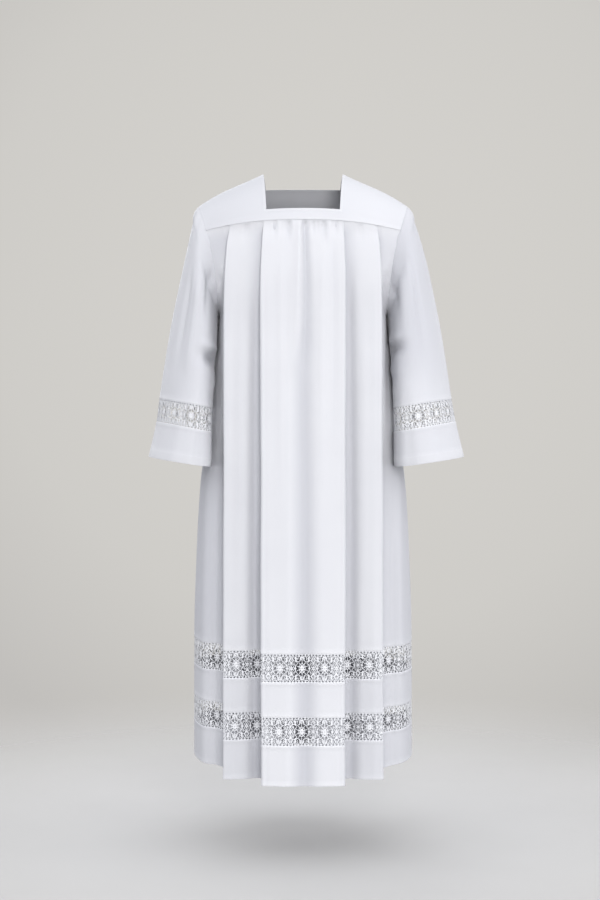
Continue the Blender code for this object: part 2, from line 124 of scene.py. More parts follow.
SLEEVE = (
    (1, 0.2430, 0.2395, -0.1010, 0.1850, -0.3150, -0.003, 0.0900, 0.002),
    (2, 0.2580, 0.2500, -0.1460, 0.1855, -0.3250, -0.010, 0.0945, 0.006),
    (3, 0.2720, 0.2615, -0.1980, 0.1860, -0.3420, -0.018, 0.0960, 0.010),
    (4, 0.2865, 0.2760, -0.2620, 0.1870, -0.3680, -0.026, 0.0950, 0.016),
    (5, 0.3010, 0.2905, -0.3350, 0.1905, -0.4080, -0.036, 0.0930, 0.021),
    (6, 0.3135, 0.3030, -0.4100, 0.1945, -0.4540, -0.046, 0.0930, 0.026),
    (7, 0.3250, 0.3145, -0.4860, 0.1985, -0.5040, -0.055, 0.0950, 0.030),
    (8, 0.3340, 0.3210, -0.5360, 0.2000, -0.5560, -0.060, 0.0970, 0.031),
    (9, 0.3515, 0.3375, -0.6120, 0.2005, -0.6300, -0.066, 0.1010, 0.032),
)
STRETCH_RISE = (0.03, 0.06, 0.27, 0.31, 0.13, 0.17, 0.48, 0.53, 1.0)

# ---------------------------------------------------------------- fine steps
# Columns of each stretch of half a section: centre panel, fold turn, underlay, inner turn,
# second panel, fold turn, underlay, inner turn, outer panel.
STEPS = (38, 7, 7, 6, 24, 7, 5, 6, 30)
PANEL_STEP = 0.0090  # height of a row of quads on the body
RING = 112  # columns round a sleeve
CLOTH_OUT, CLOTH_IN = 0.00040, 0.00035  # how far a cloth wall's faces lie from its middle surface
EDGE = 0.0052  # width of the turned and stitched edges
EDGE_EXTRA = 0.00015  # how much a turned edge adds to the wall's outer side


def lerp(a, b, t):
    return a + (b - a) * t


def smooth(low, high, x):
    t = np.clip((np.asarray(x, float) - low) / (high - low), 0.0, 1.0)
    return t * t * (3 - 2 * t)


def bell(x):
    return np.exp(-x * x)


def table_at(rows, columns, where):
    """Every column of a table at heights between its rows, by a monotone cubic. Arrays of where's shape."""
    data = np.array(rows, float)
    if data[0, 0] > data[-1, 0]:
        data = data[::-1]
    x, y = data[:, 0], data[:, 1:]
    step = np.diff(x)
    slope = np.diff(y, axis=0) / step[:, None]
    tangent = np.zeros_like(y)
    tangent[0], tangent[-1] = slope[0], slope[-1]
    a, b = slope[:-1], slope[1:]
    w1 = (2 * step[1:] + step[:-1])[:, None]
    w2 = (step[1:] + 2 * step[:-1])[:, None]
    same = a * b > 0
    tangent[1:-1] = np.where(same, (w1 + w2) / (w1 / np.where(same, a, 1.0) + w2 / np.where(same, b, 1.0)), 0.0)
    where = np.asarray(where, float)
    at = np.clip(where, x[0], x[-1])
    i = np.clip(np.searchsorted(x, at) - 1, 0, len(x) - 2)
    h = step[i]
    t = ((at - x[i]) / h)[..., None]
    h = h[..., None]
    value = (
        (2 * t**3 - 3 * t**2 + 1) * y[i]
        + (t**3 - 2 * t**2 + t) * h * tangent[i]
        + (-2 * t**3 + 3 * t**2) * y[i + 1]
        + (t**3 - t**2) * h * tangent[i + 1]
    )
    return {name: value[..., k] for k, name in enumerate(columns[1:])}


def armhole(angle):
    """Points of the armhole seam: angle 0 is the shoulder point, a right angle its front, pi the underarm."""
    angle = np.asarray(angle, float)
    z = ARMHOLE_MID_Z + ARMHOLE_HALF_Z * np.cos(angle)
    rise = (z - (ARMHOLE_MID_Z - ARMHOLE_HALF_Z)) / (2 * ARMHOLE_HALF_Z)
    x = ARMHOLE_LOW_X + (ARMHOLE_TOP_X - ARMHOLE_LOW_X) * np.clip(rise, 0, 1) ** 2.1
    return np.stack((x, -ARMHOLE_HALF_Y * np.sin(angle), z), axis=-1)


def armhole_end(angle, front):
    point = armhole(angle)
    if not front:
        point = point * np.array((1.0, -1.0, 1.0))
    return point


def seam_share(x, end_x):
    return (np.abs(x) / end_x) ** 2.2


# ---------------------------------------------------------------- creases
def crease_field(a, b, table):
    """Height that soft ridges and troughs add at chart places a, b (arrays of one shape).

    Each row: start (a, b), end (a, b), half width at start and end, height at start and end
    (below 0 for a trough), share of the length that it takes to fade in and out, and lean:
    above 0 the side of larger a is the steeper one.
    """
    total = np.zeros(np.broadcast(a, b).shape)
    for a0, b0, a1, b1, w0, w1, h0, h1, fade_in, fade_out, lean in table:
        da, db = a1 - a0, b1 - b0
        length = math.hypot(da, db)
        along = ((a - a0) * da + (b - b0) * db) / length**2
        across = ((a - a0) * db - (b - b0) * da) / length * (-1 if db < 0 else 1)
        t = np.clip(along, 0, 1)
        bow = min(0.06 * length, 0.0045) * np.sin(math.pi * t) * math.sin(37.0 * a0 + 91.0 * b0)
        width = lerp(w0, w1, t)
        u = (across + bow) / width
        u = u * (1 + lean * np.tanh(u) * 0.6)
        fade = smooth(0.0, max(fade_in, 1e-3), along) * (1 - smooth(1 - max(fade_out, 1e-3), 1.0, along))
        total += lerp(h0, h1, t) * fade * bell(u)
    return total


# Front. a is x (the wearer's left is +), b is z.
#    a0      b0      a1      b1      w0      w1     h0       h1      in    out   lean
FRONT_CREASES = (
    # the inverted fold under the middle of the yoke: a ridge, and a trough close beside it
    (-0.0080, -0.0900, -0.0230, -0.4400, 0.0050, 0.0110, 0.0048, 0.0030, 0.04, 0.40, 0.6),
    (0.0020, -0.0900, 0.0020, -0.4600, 0.0050, 0.0140, -0.0074, -0.0090, 0.03, 0.35, -0.4),
    # the long trough that takes over from it and runs to the hem
    (-0.0340, -0.3600, -0.0370, -1.4500, 0.0110, 0.0130, 0.0014, 0.0018, 0.12, 0.01, 0.5),
    (-0.0010, -0.3000, 0.0010, -1.4500, 0.0170, 0.0220, -0.0090, -0.0120, 0.16, 0.01, 0.0),
    # faint long folds each side of it
    (-0.0480, -0.1500, -0.0490, -0.8000, 0.0070, 0.0100, 0.0016, 0.0018, 0.15, 0.50, 0.0),
    (0.0420, -0.1400, 0.0440, -0.7600, 0.0080, 0.0110, 0.0018, 0.0016, 0.15, 0.50, 0.0),
    (0.0640, -0.1200, 0.0660, -0.6800, 0.0070, 0.0100, -0.0016, -0.0018, 0.15, 0.50, 0.0),
    # gathers at the yoke seam
    (-0.0570, -0.0900, -0.0580, -0.1520, 0.0032, 0.0065, -0.0055, -0.0015, 0.05, 0.75, 0.0),
    (-0.0510, -0.0900, -0.0500, -0.1450, 0.0030, 0.0060, 0.0029, 0.0012, 0.05, 0.75, 0.0),
    (-0.0310, -0.0900, -0.0330, -0.1700, 0.0046, 0.0090, -0.0065, -0.0021, 0.05, 0.75, 0.0),
    (-0.0220, -0.0900, -0.0230, -0.1450, 0.0034, 0.0070, 0.0029, 0.0012, 0.05, 0.75, 0.0),
    (0.0180, -0.0900, 0.0200, -0.1500, 0.0030, 0.0060, -0.0049, -0.0015, 0.05, 0.75, 0.0),
    (0.0275, -0.0900, 0.0300, -0.1450, 0.0028, 0.0060, -0.0044, -0.0012, 0.05, 0.75, 0.0),
    (0.0420, -0.0900, 0.0460, -0.1700, 0.0044, 0.0090, -0.0065, -0.0021, 0.05, 0.75, 0.0),
    (0.0520, -0.0900, 0.0550, -0.1500, 0.0034, 0.0070, 0.0029, 0.0012, 0.05, 0.75, 0.0),
    (0.0720, -0.0900, 0.0730, -0.1500, 0.0034, 0.0060, -0.0044, -0.0012, 0.05, 0.75, 0.0),
    (-0.1240, -0.0900, -0.1230, -0.1700, 0.0045, 0.0090, -0.0031, -0.0012, 0.05, 0.75, 0.0),
    (0.1220, -0.0900, 0.1250, -0.1800, 0.0050, 0.0090, -0.0031, -0.0012, 0.05, 0.75, 0.0),
    # second panels: rounded towards their own fold, hollow beside the centre panel
    (-0.0990, -0.1400, -0.0990, -1.4500, 0.0120, 0.0150, -0.0080, -0.0150, 0.16, 0.01, 0.0),
    (0.0980, -0.1200, 0.0990, -1.4500, 0.0095, 0.0140, -0.0070, -0.0120, 0.16, 0.01, 0.0),
    (-0.1560, -0.1400, -0.1560, -1.4500, 0.0130, 0.0150, 0.0014, 0.0020, 0.12, 0.01, 0.0),
    (-0.1330, -0.2000, -0.1320, -0.9500, 0.0080, 0.0110, -0.0018, -0.0020, 0.20, 0.40, 0.0),
    (0.1540, -0.1800, 0.1560, -1.4500, 0.0130, 0.0160, 0.0014, 0.0018, 0.16, 0.01, 0.0),
    (0.1300, -0.2600, 0.1320, -1.0000, 0.0090, 0.0120, 0.0016, 0.0020, 0.20, 0.40, 0.0),
    # outer panels: one soft fold on each side, at unlike heights
    (-0.1830, -0.6000, -0.1900, -1.4500, 0.0075, 0.0110, -0.0044, -0.0080, 0.30, 0.01, -0.3),
    (-0.2030, -0.5200, -0.2120, -1.4500, 0.0090, 0.0120, 0.0030, 0.0050, 0.25, 0.01, 0.0),
    (0.2080, -0.5400, 0.2160, -1.3000, 0.0085, 0.0120, 0.0034, 0.0040, 0.25, 0.40, 0.0),
    (0.1930, -0.6000, 0.1960, -1.4500, 0.0090, 0.0130, -0.0038, -0.0060, 0.30, 0.01, 0.3),
    # drag lines from the underarm
    (-0.1800, -0.2150, -0.1790, -0.3300, 0.0060, 0.0100, -0.0034, -0.0012, 0.15, 0.50, 0.0),
    (0.1790, -0.2100, 0.1780, -0.2900, 0.0060, 0.0100, -0.0024, -0.0010, 0.15, 0.50, 0.0),
    (-0.1885, -0.2600, -0.1885, -0.4300, 0.0060, 0.0060, -0.0030, -0.0026, 0.25, 0.30, 0.0),
    (0.1885, -0.2600, 0.1885, -0.4300, 0.0060, 0.0060, -0.0030, -0.0026, 0.25, 0.30, 0.0),
    # the outer panels bulge forward a little beside the sleeves
    (-0.1740, -0.2900, -0.1740, -0.6200, 0.0055, 0.0070, 0.0034, 0.0040, 0.20, 0.30, 0.0),
    (0.1740, -0.2700, 0.1740, -0.6200, 0.0055, 0.0070, 0.0040, 0.0046, 0.20, 0.30, 0.0),
    (-0.1860, -0.4200, -0.1860, -0.6200, 0.0110, 0.0110, 0.0030, 0.0030, 0.30, 0.35, 0.0),
    (0.1860, -0.4200, 0.1860, -0.6200, 0.0110, 0.0110, 0.0034, 0.0034, 0.30, 0.35, 0.0),
)
BACK_CREASES = (
    (-0.0040, -0.1000, 0.0020, -0.3900, 0.0080, 0.0180, -0.0044, -0.0070, 0.06, 0.55, 0.3),
    (-0.0220, -0.1000, -0.0210, -0.3300, 0.0090, 0.0150, 0.0027, 0.0026, 0.08, 0.60, 0.0),
    (0.0050, -0.2500, -0.0050, -1.4500, 0.0220, 0.0260, -0.0068, -0.0128, 0.25, 0.01, -0.4),
    (0.0420, -0.3600, 0.0400, -1.4500, 0.0150, 0.0180, 0.0020, 0.0038, 0.20, 0.01, 0.0),
    (-0.0560, -0.1000, -0.0550, -0.1650, 0.0040, 0.0080, -0.0037, -0.0008, 0.05, 0.75, 0.0),
    (-0.0380, -0.1000, -0.0400, -0.1560, 0.0036, 0.0070, -0.0031, -0.0008, 0.05, 0.75, 0.0),
    (0.0240, -0.1000, 0.0260, -0.1600, 0.0038, 0.0080, -0.0040, -0.0008, 0.05, 0.75, 0.0),
    (0.0480, -0.1000, 0.0470, -0.1680, 0.0042, 0.0080, -0.0035, -0.0008, 0.05, 0.75, 0.0),
    (-0.1150, -0.1000, -0.1160, -0.1700, 0.0045, 0.0090, -0.0031, -0.0008, 0.05, 0.75, 0.0),
    (0.1120, -0.1000, 0.1130, -0.1640, 0.0048, 0.0090, -0.0031, -0.0008, 0.05, 0.75, 0.0),
    (-0.1060, -0.2000, -0.1040, -1.4500, 0.0150, 0.0190, -0.0031, -0.0080, 0.20, 0.01, 0.0),
    (0.1040, -0.1800, 0.1060, -1.4500, 0.0140, 0.0190, -0.0031, -0.0086, 0.20, 0.01, 0.0),
    (-0.1420, -0.3000, -0.1440, -1.4500, 0.0140, 0.0170, 0.0017, 0.0029, 0.20, 0.01, 0.0),
    (0.1400, -0.2600, 0.1430, -1.4500, 0.0140, 0.0170, 0.0017, 0.0029, 0.20, 0.01, 0.0),
    (-0.1850, -0.5600, -0.1900, -1.4500, 0.0085, 0.0120, -0.0037, -0.0080, 0.30, 0.01, 0.2),
    (-0.2050, -0.6200, -0.2130, -1.4500, 0.0090, 0.0120, 0.0034, 0.0058, 0.25, 0.01, 0.0),
    (0.1880, -0.6400, 0.1930, -1.4500, 0.0085, 0.0120, -0.0034, -0.0077, 0.30, 0.01, -0.2),
    (0.2080, -0.5800, 0.2140, -1.4500, 0.0090, 0.0120, 0.0031, 0.0054, 0.25, 0.01, 0.0),
    (-0.1780, -0.2400, -0.1700, -0.4400, 0.0070, 0.0140, -0.0034, -0.0026, 0.15, 0.60, 0.0),
    (0.1770, -0.2600, 0.1690, -0.4700, 0.0070, 0.0140, -0.0034, -0.0026, 0.15, 0.60, 0.0),
)
# Sleeves. a is the way round from the outer edge over the front, as arc length at 85 mm radius
# (the front is 0.134, the inner side 0.267, the back 0.40), b is z.
LEFT_SLEEVE_CREASES = (
    # elbow: a ridge that comes round from the body side, the hollow under it, and a weaker pair below
    (0.2500, -0.3620, 0.1200, -0.3440, 0.0080, 0.0130, 0.0048, 0.0036, 0.30, 0.50, 0.0),
    (0.2540, -0.3880, 0.1200, -0.3670, 0.0105, 0.0160, -0.0110, -0.0076, 0.32, 0.50, 0.0),
    (0.2560, -0.4250, 0.1850, -0.4100, 0.0100, 0.0150, 0.0030, 0.0010, 0.30, 0.60, 0.0),
    (0.2560, -0.4590, 0.2000, -0.4420, 0.0100, 0.0140, -0.0036, -0.0010, 0.35, 0.55, 0.0),
    # the front stays flat nearly to its inner edge and turns sharply there
    (0.2140, -0.3800, 0.2180, -0.6500, 0.0180, 0.0220, 0.0038, 0.0042, 0.30, 0.15, 0.0),
    # long soft folds down the front
    (0.185, -0.1650, 0.165, -0.3200, 0.0080, 0.0140, -0.0052, -0.0026, 0.25, 0.45, 0.0),
    (0.150, -0.1500, 0.120, -0.4600, 0.0140, 0.0220, 0.0022, 0.0020, 0.25, 0.40, 0.0),
    (0.100, -0.1600, 0.080, -0.4400, 0.0100, 0.0160, -0.0040, -0.0026, 0.30, 0.45, 0.0),
    (0.150, -0.4400, 0.155, -0.6800, 0.0180, 0.0240, -0.0020, -0.0045, 0.35, 0.02, 0.0),
    (0.090, -0.3800, 0.085, -0.6800, 0.0160, 0.0220, 0.0015, 0.0030, 0.35, 0.02, 0.0),
    (0.235, -0.4600, 0.235, -0.7000, 0.0150, 0.0190, 0.0020, 0.0040, 0.35, 0.02, 0.0),
    # underarm
    (0.232, -0.2350, 0.215, -0.3050, 0.0080, 0.0100, -0.0022, -0.0010, 0.30, 0.50, 0.0),
    (0.300, -0.2600, 0.330, -0.3400, 0.0100, 0.0130, -0.0045, -0.0018, 0.30, 0.50, 0.0),
    # back of the elbow and the long folds behind
    (0.330, -0.3500, 0.430, -0.3150, 0.0100, 0.0160, -0.0050, -0.0015, 0.25, 0.55, 0.0),
    (0.330, -0.3800, 0.440, -0.3500, 0.0110, 0.0160, 0.0030, 0.0010, 0.25, 0.60, 0.0),
    (0.400, -0.2000, 0.415, -0.5000, 0.0140, 0.0200, -0.0030, -0.0016, 0.30, 0.40, 0.0),
    (0.360, -0.4600, 0.355, -0.7000, 0.0170, 0.0220, -0.0020, -0.0045, 0.35, 0.02, 0.0),
    (0.440, -0.3600, 0.445, -0.7000, 0.0170, 0.0230, 0.0018, 0.0040, 0.35, 0.02, 0.0),
)
RIGHT_SLEEVE_CREASES = (
    (0.2560, -0.3840, 0.1000, -0.3620, 0.0080, 0.0120, 0.0052, 0.0036, 0.30, 0.50, 0.0),
    (0.2540, -0.4100, 0.1050, -0.3840, 0.0115, 0.0180, -0.0115, -0.0080, 0.30, 0.50, 0.0),
    (0.2560, -0.4560, 0.2000, -0.4510, 0.0100, 0.0150, 0.0026, 0.0010, 0.35, 0.60, 0.0),
    (0.2560, -0.4820, 0.2150, -0.4760, 0.0090, 0.0130, -0.0030, -0.0010, 0.35, 0.55, 0.0),
    (0.2140, -0.3800, 0.2180, -0.6500, 0.0180, 0.0220, 0.0038, 0.0042, 0.30, 0.15, 0.0),
    # head of the sleeve: a small bundle of folds at the shoulder seam
    (0.030, -0.0760, 0.020, -0.1450, 0.0035, 0.0070, -0.0024, -0.0010, 0.15, 0.60, 0.0),
    (0.044, -0.0800, 0.048, -0.1560, 0.0035, 0.0080, 0.0020, 0.0012, 0.15, 0.60, 0.0),
    (0.058, -0.0860, 0.070, -0.1500, 0.0035, 0.0080, -0.0020, -0.0010, 0.15, 0.60, 0.0),
    # the lit fold down the outer front and the shade beside it
    (0.110, -0.2100, 0.090, -0.4600, 0.0110, 0.0150, 0.0040, 0.0032, 0.25, 0.35, 0.0),
    (0.070, -0.1800, 0.052, -0.4400, 0.0090, 0.0130, -0.0046, -0.0034, 0.30, 0.40, 0.0),
    (0.160, -0.1700, 0.150, -0.3400, 0.0100, 0.0150, -0.0048, -0.0030, 0.25, 0.40, 0.0),
    (0.200, -0.2200, 0.195, -0.3500, 0.0090, 0.0120, 0.0018, 0.0010, 0.25, 0.40, 0.0),
    (0.150, -0.4200, 0.150, -0.6800, 0.0180, 0.0240, -0.0020, -0.0042, 0.35, 0.02, 0.0),
    (0.205, -0.4700, 0.200, -0.7000, 0.0150, 0.0190, 0.0020, 0.0036, 0.35, 0.02, 0.0),
    (0.080, -0.4600, 0.080, -0.7000, 0.0160, 0.0200, 0.0010, 0.0026, 0.35, 0.02, 0.0),
    (0.236, -0.2350, 0.222, -0.3150, 0.0090, 0.0110, -0.0022, -0.0012, 0.30, 0.50, 0.0),
    (0.300, -0.2600, 0.335, -0.3300, 0.0100, 0.0130, -0.0045, -0.0018, 0.30, 0.50, 0.0),
    (0.330, -0.3600, 0.420, -0.3300, 0.0100, 0.0160, -0.0046, -0.0015, 0.25, 0.55, 0.0),
    (0.330, -0.3900, 0.430, -0.3600, 0.0110, 0.0160, 0.0028, 0.0010, 0.25, 0.60, 0.0),
    (0.410, -0.2200, 0.405, -0.5200, 0.0150, 0.0200, -0.0028, -0.0016, 0.30, 0.40, 0.0),
    (0.370, -0.4600, 0.370, -0.7000, 0.0170, 0.0220, -0.0020, -0.0040, 0.35, 0.02, 0.0),
    (0.455, -0.3600, 0.450, -0.7000, 0.0170, 0.0230, 0.0018, 0.0038, 0.35, 0.02, 0.0),
)
SLEEVE_CHART_RADIUS = 0.085


# ---------------------------------------------------------------- surfaces
def half_columns():
    stretch, share = [], []
    for index, count in enumerate(STEPS):
        for k in range(0 if index == 0 else 1, count + 1):
            stretch.append(index)
            share.append(k / count)
    return np.array(stretch), np.array(share)


HALF_STRETCH, HALF_SHARE = half_columns()
FULL_STRETCH = np.concatenate((HALF_STRETCH[:0:-1], HALF_STRETCH))
FULL_SHARE = np.concatenate((HALF_SHARE[:0:-1], HALF_SHARE))
FULL_SIDE = np.concatenate((-np.ones(len(HALF_STRETCH) - 1), np.ones(len(HALF_STRETCH))))


def half_section(c, end, front):
    """x, y and share of the rise of half a body section for each row of c, from the middle out."""
    turn = 1.0 if front else -1.0
    c = {k: v[:, None] for k, v in c.items()}
    mid_y, y1, y2 = turn * c["mid_y"], turn * c["y1"], turn * c["y2"]
    end_x, end_y = end[:, :1], turn * end[:, 1:2]
    xs, ys, rises = [], [], []

    def stretch(index, curve):
        t = np.arange(0 if index == 0 else 1, STEPS[index] + 1)[None, :] / STEPS[index]
        x, y = curve(t)
        xs.append(x + 0 * end_x)
        ys.append(turn * (y + 0 * end_x))
        start = STRETCH_RISE[index - 1] if index else 0.0
        rises.append(lerp(start, STRETCH_RISE[index], t) + 0 * end_x)

    def centre_panel(t):
        return lerp(0.0, fold1[0], t), lerp(mid_y, y1, t**2)

    def turned(x, y, width, depth, inwards):
        return lambda t: (x + inwards * width * np.sin(math.pi * t), y + depth * (1 - np.cos(math.pi * t)) / 2)

    def straight(a, b, power=1.0):
        return lambda t: (lerp(a[0], b[0], t), lerp(a[1], b[1], t**power))

    d1 = np.minimum(c["step1"] * 0.5, FOLD_TURN)
    fold1 = (c["x1"] - d1 / 2, y1)
    back1 = (fold1[0], y1 + d1)
    inner1 = (c["x1"] - c["under1"], y1 + c["step1"] - d1)
    next1 = (inner1[0], y1 + c["step1"])
    d2 = np.minimum(c["step2"] * 0.5, FOLD_TURN)
    fold2 = (c["x2"] - d2 / 2, y2)
    back2 = (fold2[0], y2 + d2)
    inner2 = (c["x2"] - c["under2"], y2 + c["step2"] - d2)
    next2 = (inner2[0], y2 + c["step2"])
    stretch(0, centre_panel)
    stretch(1, turned(*fold1, d1 / 2, d1, 1))
    stretch(2, straight(back1, inner1))
    stretch(3, turned(*inner1, d1 / 2, d1, -1))
    stretch(4, straight(next1, fold2, power=1.8))
    stretch(5, turned(*fold2, d2 / 2, d2, 1))
    stretch(6, straight(back2, inner2))
    stretch(7, turned(*inner2, d2 / 2, d2, -1))
    open_side = np.where(end[:, 2:] > -0.306, np.minimum(1.0, np.abs(end_y) / 0.07), 0.0)
    corner = (lerp(next2[0], end_x, lerp(0.96, 0.60, open_side)), lerp(next2[1], end_y, lerp(0.10, 0.30, open_side)))

    def outer_panel(t):
        a, b, d = (1 - t) ** 2, 2 * t * (1 - t), t**2
        return a * next2[0] + b * corner[0] + d * end_x, a * next2[1] + b * corner[1] + d * end_y

    stretch(8, outer_panel)
    return np.concatenate(xs, 1), np.concatenate(ys, 1), np.concatenate(rises, 1)


def body_rows(front, z_mid, end_left, end_right, level):
    """Base points (rows, columns, 3) of the front or back at these rows."""
    c = table_at(FRONT if front else BACK, SECTION_COLUMNS, z_mid)
    halves = []
    for side, end in ((-1, end_right), (1, end_left)):
        x, y, rise = half_section(c, end, front)
        fall = lerp(rise, seam_share(x, end[:, :1]), level[:, None])
        z = z_mid[:, None] + (end[:, 2:] - z_mid[:, None]) * fall
        halves.append(np.stack((side * x, y, z), axis=-1))
    return np.concatenate((halves[0][:, :0:-1], halves[1]), axis=1)


def rise_at(z):
    rows = sorted((line[0], line[1], line[2]) for line in LINES.values())
    c = table_at(rows, ("z", "left", "right"), z)
    return c["left"], c["right"]


def side_ends(front, z_mid, left, right):
    side = table_at(SIDE, SIDE_COLUMNS, z_mid)
    x = side["x"]
    # the armhole's lowest point stands a little further out than the side seam below it
    x = x + (ARMHOLE_LOW_X - 0.1815) * (1 - smooth(0.0, 0.05, LINES["underarm"][0] - z_mid))
    y = side["y"] + (-SEAM / 2 if front else SEAM / 2)
    return np.stack((x, y, z_mid + left), -1), np.stack((x, y, z_mid + right), -1)


def normals_of(p, outward, closed=False):
    """Unit normals of a grid of points. outward is +1 or -1."""
    if closed:
        du = np.roll(p, -1, axis=1) - np.roll(p, 1, axis=1)
    else:
        du = np.gradient(p, axis=1)
    dv = np.gradient(p, axis=0)
    n = np.cross(du, dv) * outward
    size = np.linalg.norm(n, axis=-1, keepdims=True)
    return n / np.maximum(size, 1e-12)


def panel_mask():
    """1 on the stretches that show, fading to 0 where they go behind a fold."""
    mask = np.zeros(len(FULL_STRETCH))
    for index, start in ((0, None), (4, 0.30), (8, 0.10)):
        here = FULL_STRETCH == index
        if start is None:
            mask[here] = 1 - smooth(0.90, 1.0, FULL_SHARE[here])
        else:
            rising = smooth(start - 0.12, start + 0.12, FULL_SHARE[here])
            falling = 1 - smooth(0.90, 1.0, FULL_SHARE[here]) if index == 4 else 1 - smooth(0.86, 1.0, FULL_SHARE[here])
            mask[here] = rising * falling
    return mask


PANEL_MASK = panel_mask()


def body_relief(front, p):
    """How far out of the base surface the creases bring the body's points."""
    x, z = p[..., 0], p[..., 2]
    out = crease_field(x, z, FRONT_CREASES if front else BACK_CREASES) * PANEL_MASK
    # fold edges wander a little on their way down, and the hidden layers with them
    sway = 0.0007 * np.sin(9.0 * z + 2.0 * FULL_SIDE) + 0.0005 * np.sin(23.0 * z - 1.3 * FULL_SIDE)
    out += sway * np.where((FULL_STRETCH >= 1) & (FULL_STRETCH <= 7), 1.0, 0.0) * 0.5
    return out


def body_surface(front, kind, rows):
    """Points of one piece of the body. kind is "panel", or a pair of line names."""
    if kind == "panel":
        seam_z = YOKE_SEAM_FRONT if front else YOKE_SEAM_BACK
        under_z = LINES["underarm"][0]
        yoke_end = armhole(ARMHOLE_YOKE_ANGLE)[2]
        angle, z_low = rows
        t = (np.degrees(angle) - 57.5) / 122.5
        end = armhole_end(angle, front)
        z_top = end[:, 2] + lerp(seam_z - yoke_end, under_z + 0.305, t)
        left, right = rise_at(z_low)
        low_left, low_right = side_ends(front, z_low, left, right)
        p = body_rows(
            front,
            np.concatenate((z_top, z_low)),
            np.concatenate((end, low_left)),
            np.concatenate((end, low_right)),
            np.concatenate((1 - t, np.zeros(len(z_low)))),
        )
    else:
        top, bottom = LINES[kind[0]], LINES[kind[1]]
        share = rows[:, None]
        z, left, right = (lerp(np.array(top), np.array(bottom), share)).T
        p = body_rows(front, z, *side_ends(front, z, left, right), np.zeros(len(z)))
    return p


def body_normals(front, p):
    return normals_of(p, -1 if front else 1)


def relieved(front, p):
    """Base points moved out by the creases, with their new normals."""
    n = body_normals(front, p)
    p = p + n * body_relief(front, p)[..., None]
    return p, body_normals(front, p)


def yoke_point(front, across, down):
    """Points of the yoke beside the neck. across and down are arrays of one shape."""
    seam_z = YOKE_SEAM_FRONT if front else YOKE_SEAM_BACK
    seam_y = YOKE_SIDE_FRONT_Y if front else YOKE_SIDE_BACK_Y
    end = armhole_end(ARMHOLE_YOKE_ANGLE, front)
    turn = lerp(YOKE_TURN, ARMHOLE_YOKE_ANGLE, across)
    arm = armhole(ARMHOLE_YOKE_ANGLE * down)
    neck_x = lerp(NECK_HALF_TOP, NECK_HALF_FRONT - 0.001, down)
    x = lerp(neck_x, arm[..., 0], across)
    top_z = lerp(SHOULDER_TOP, armhole(0.0)[2], across) + 0.008 * np.sin(math.pi * across) * across
    bottom_z = lerp(seam_z, end[2], seam_share(lerp(NECK_HALF_FRONT - 0.001, end[0], across), end[0]))
    edge_y = lerp(seam_y, end[1], across**1.8)
    y = edge_y * np.sin(turn * down) / np.sin(turn)
    z = top_z + (bottom_z - top_z) * (1 - np.cos(turn * down)) / (1 - np.cos(turn))
    return np.stack((x, y, z), axis=-1)


def neck_share(front):
    down = np.linspace(0, 1, 4001)
    p = yoke_point(front, np.zeros_like(down), down)
    past = p[:, 2] < NECK_FRONT_Z if front else p[:, 1] > NECK_BACK_Y
    return float(down[np.argmax(past)])


def sleeve_rows(k, left):
    """Rings (rows, RING, 3) of a sleeve at places along its table. 0 is the armhole."""
    k = np.asarray(k, float)
    if k.ndim == 1:
        k = np.repeat(k[:, None], RING, axis=1)
    angle = np.arange(RING)[None, :] * 2 * math.pi / RING
    c = table_at(SLEEVE, SLEEVE_COLUMNS, np.maximum(k, 1.0))
    outer = c["outer_l"] if left else c["outer_r"]
    half = (outer - c["inner_x"]) / 2
    wide = np.sqrt(np.maximum(half**2 - c["lean"] ** 2, 1e-9))
    x = (outer + c["inner_x"]) / 2 + wide * np.cos(angle) - c["lean"] * np.sin(angle)
    y = c["mid_y"] - c["half_y"] * np.sin(angle)
    z = lerp(c["outer_z"], c["inner_z"], (1 - np.cos(angle)) / 2)
    p = np.stack(np.broadcast_arrays(x, y, z), axis=-1)
    arm = armhole(angle[0])[None]
    t = np.clip(k, 0, 1)[..., None]
    # the sleeve leaves the seam outwards before it turns down
    head = np.stack((0.0045 * np.cos(angle / 2) ** 2, 0 * angle, 0.0010 * np.cos(angle / 2) ** 2), axis=-1)
    p = lerp(arm, p, t) + head * (4 * t * (1 - t))
    if not left:
        p = p * np.array((-1.0, 1.0, 1.0))
    return p


def sleeve_relieved(k, left):
    p = sleeve_rows(k, left)
    sign = 1 if left else -1
    n = normals_of(p, sign, closed=True)
    angle = np.arange(RING)[None, :] * 2 * math.pi / RING
    chart = angle * SLEEVE_CHART_RADIUS
    k = np.asarray(k, float)
    fade = smooth(0.0, 0.35, k if k.ndim == 2 else k[:, None])
    out = crease_field(chart, p[..., 2], LEFT_SLEEVE_CREASES if left else RIGHT_SLEEVE_CREASES) * fade
    p = p + n * out[..., None]
    # painted shade over the sleeve's front, stronger on the left sleeve and above the elbow
    front = np.clip(np.sin(angle), 0, 1) ** 0.8 * (1 - smooth(0.185, 0.245, chart))
    upper = 1 - smooth(-0.360, -0.480, p[..., 2])
    broad = front * ((0.35 + 0.35 * upper) if left else (0.34 + 0.10 * upper))
    # painted shade on the cloth crushed together at the elbow, towards the body
    z = p[..., 2]
    if left:
        elbow_painted_shade = 0.85 * np.exp(-(((chart - 0.203) / 0.036) ** 2)) * smooth(-0.362, -0.395, z) * (1 - smooth(-0.425, -0.485, z))
    else:
        elbow_painted_shade = 0.85 * np.exp(-(((chart - 0.178) / 0.040) ** 2)) * smooth(-0.370, -0.388, z) * (1 - smooth(-0.404, -0.428, z))
    # painted shade: the crease troughs, the front and the elbow, whichever is strongest, grey the cloth colour
    painted_shade = np.maximum(np.maximum(np.clip(-out / 0.011, 0, 1) * 0.75, broad), elbow_painted_shade)
    return p, normals_of(p, sign, closed=True), painted_shade


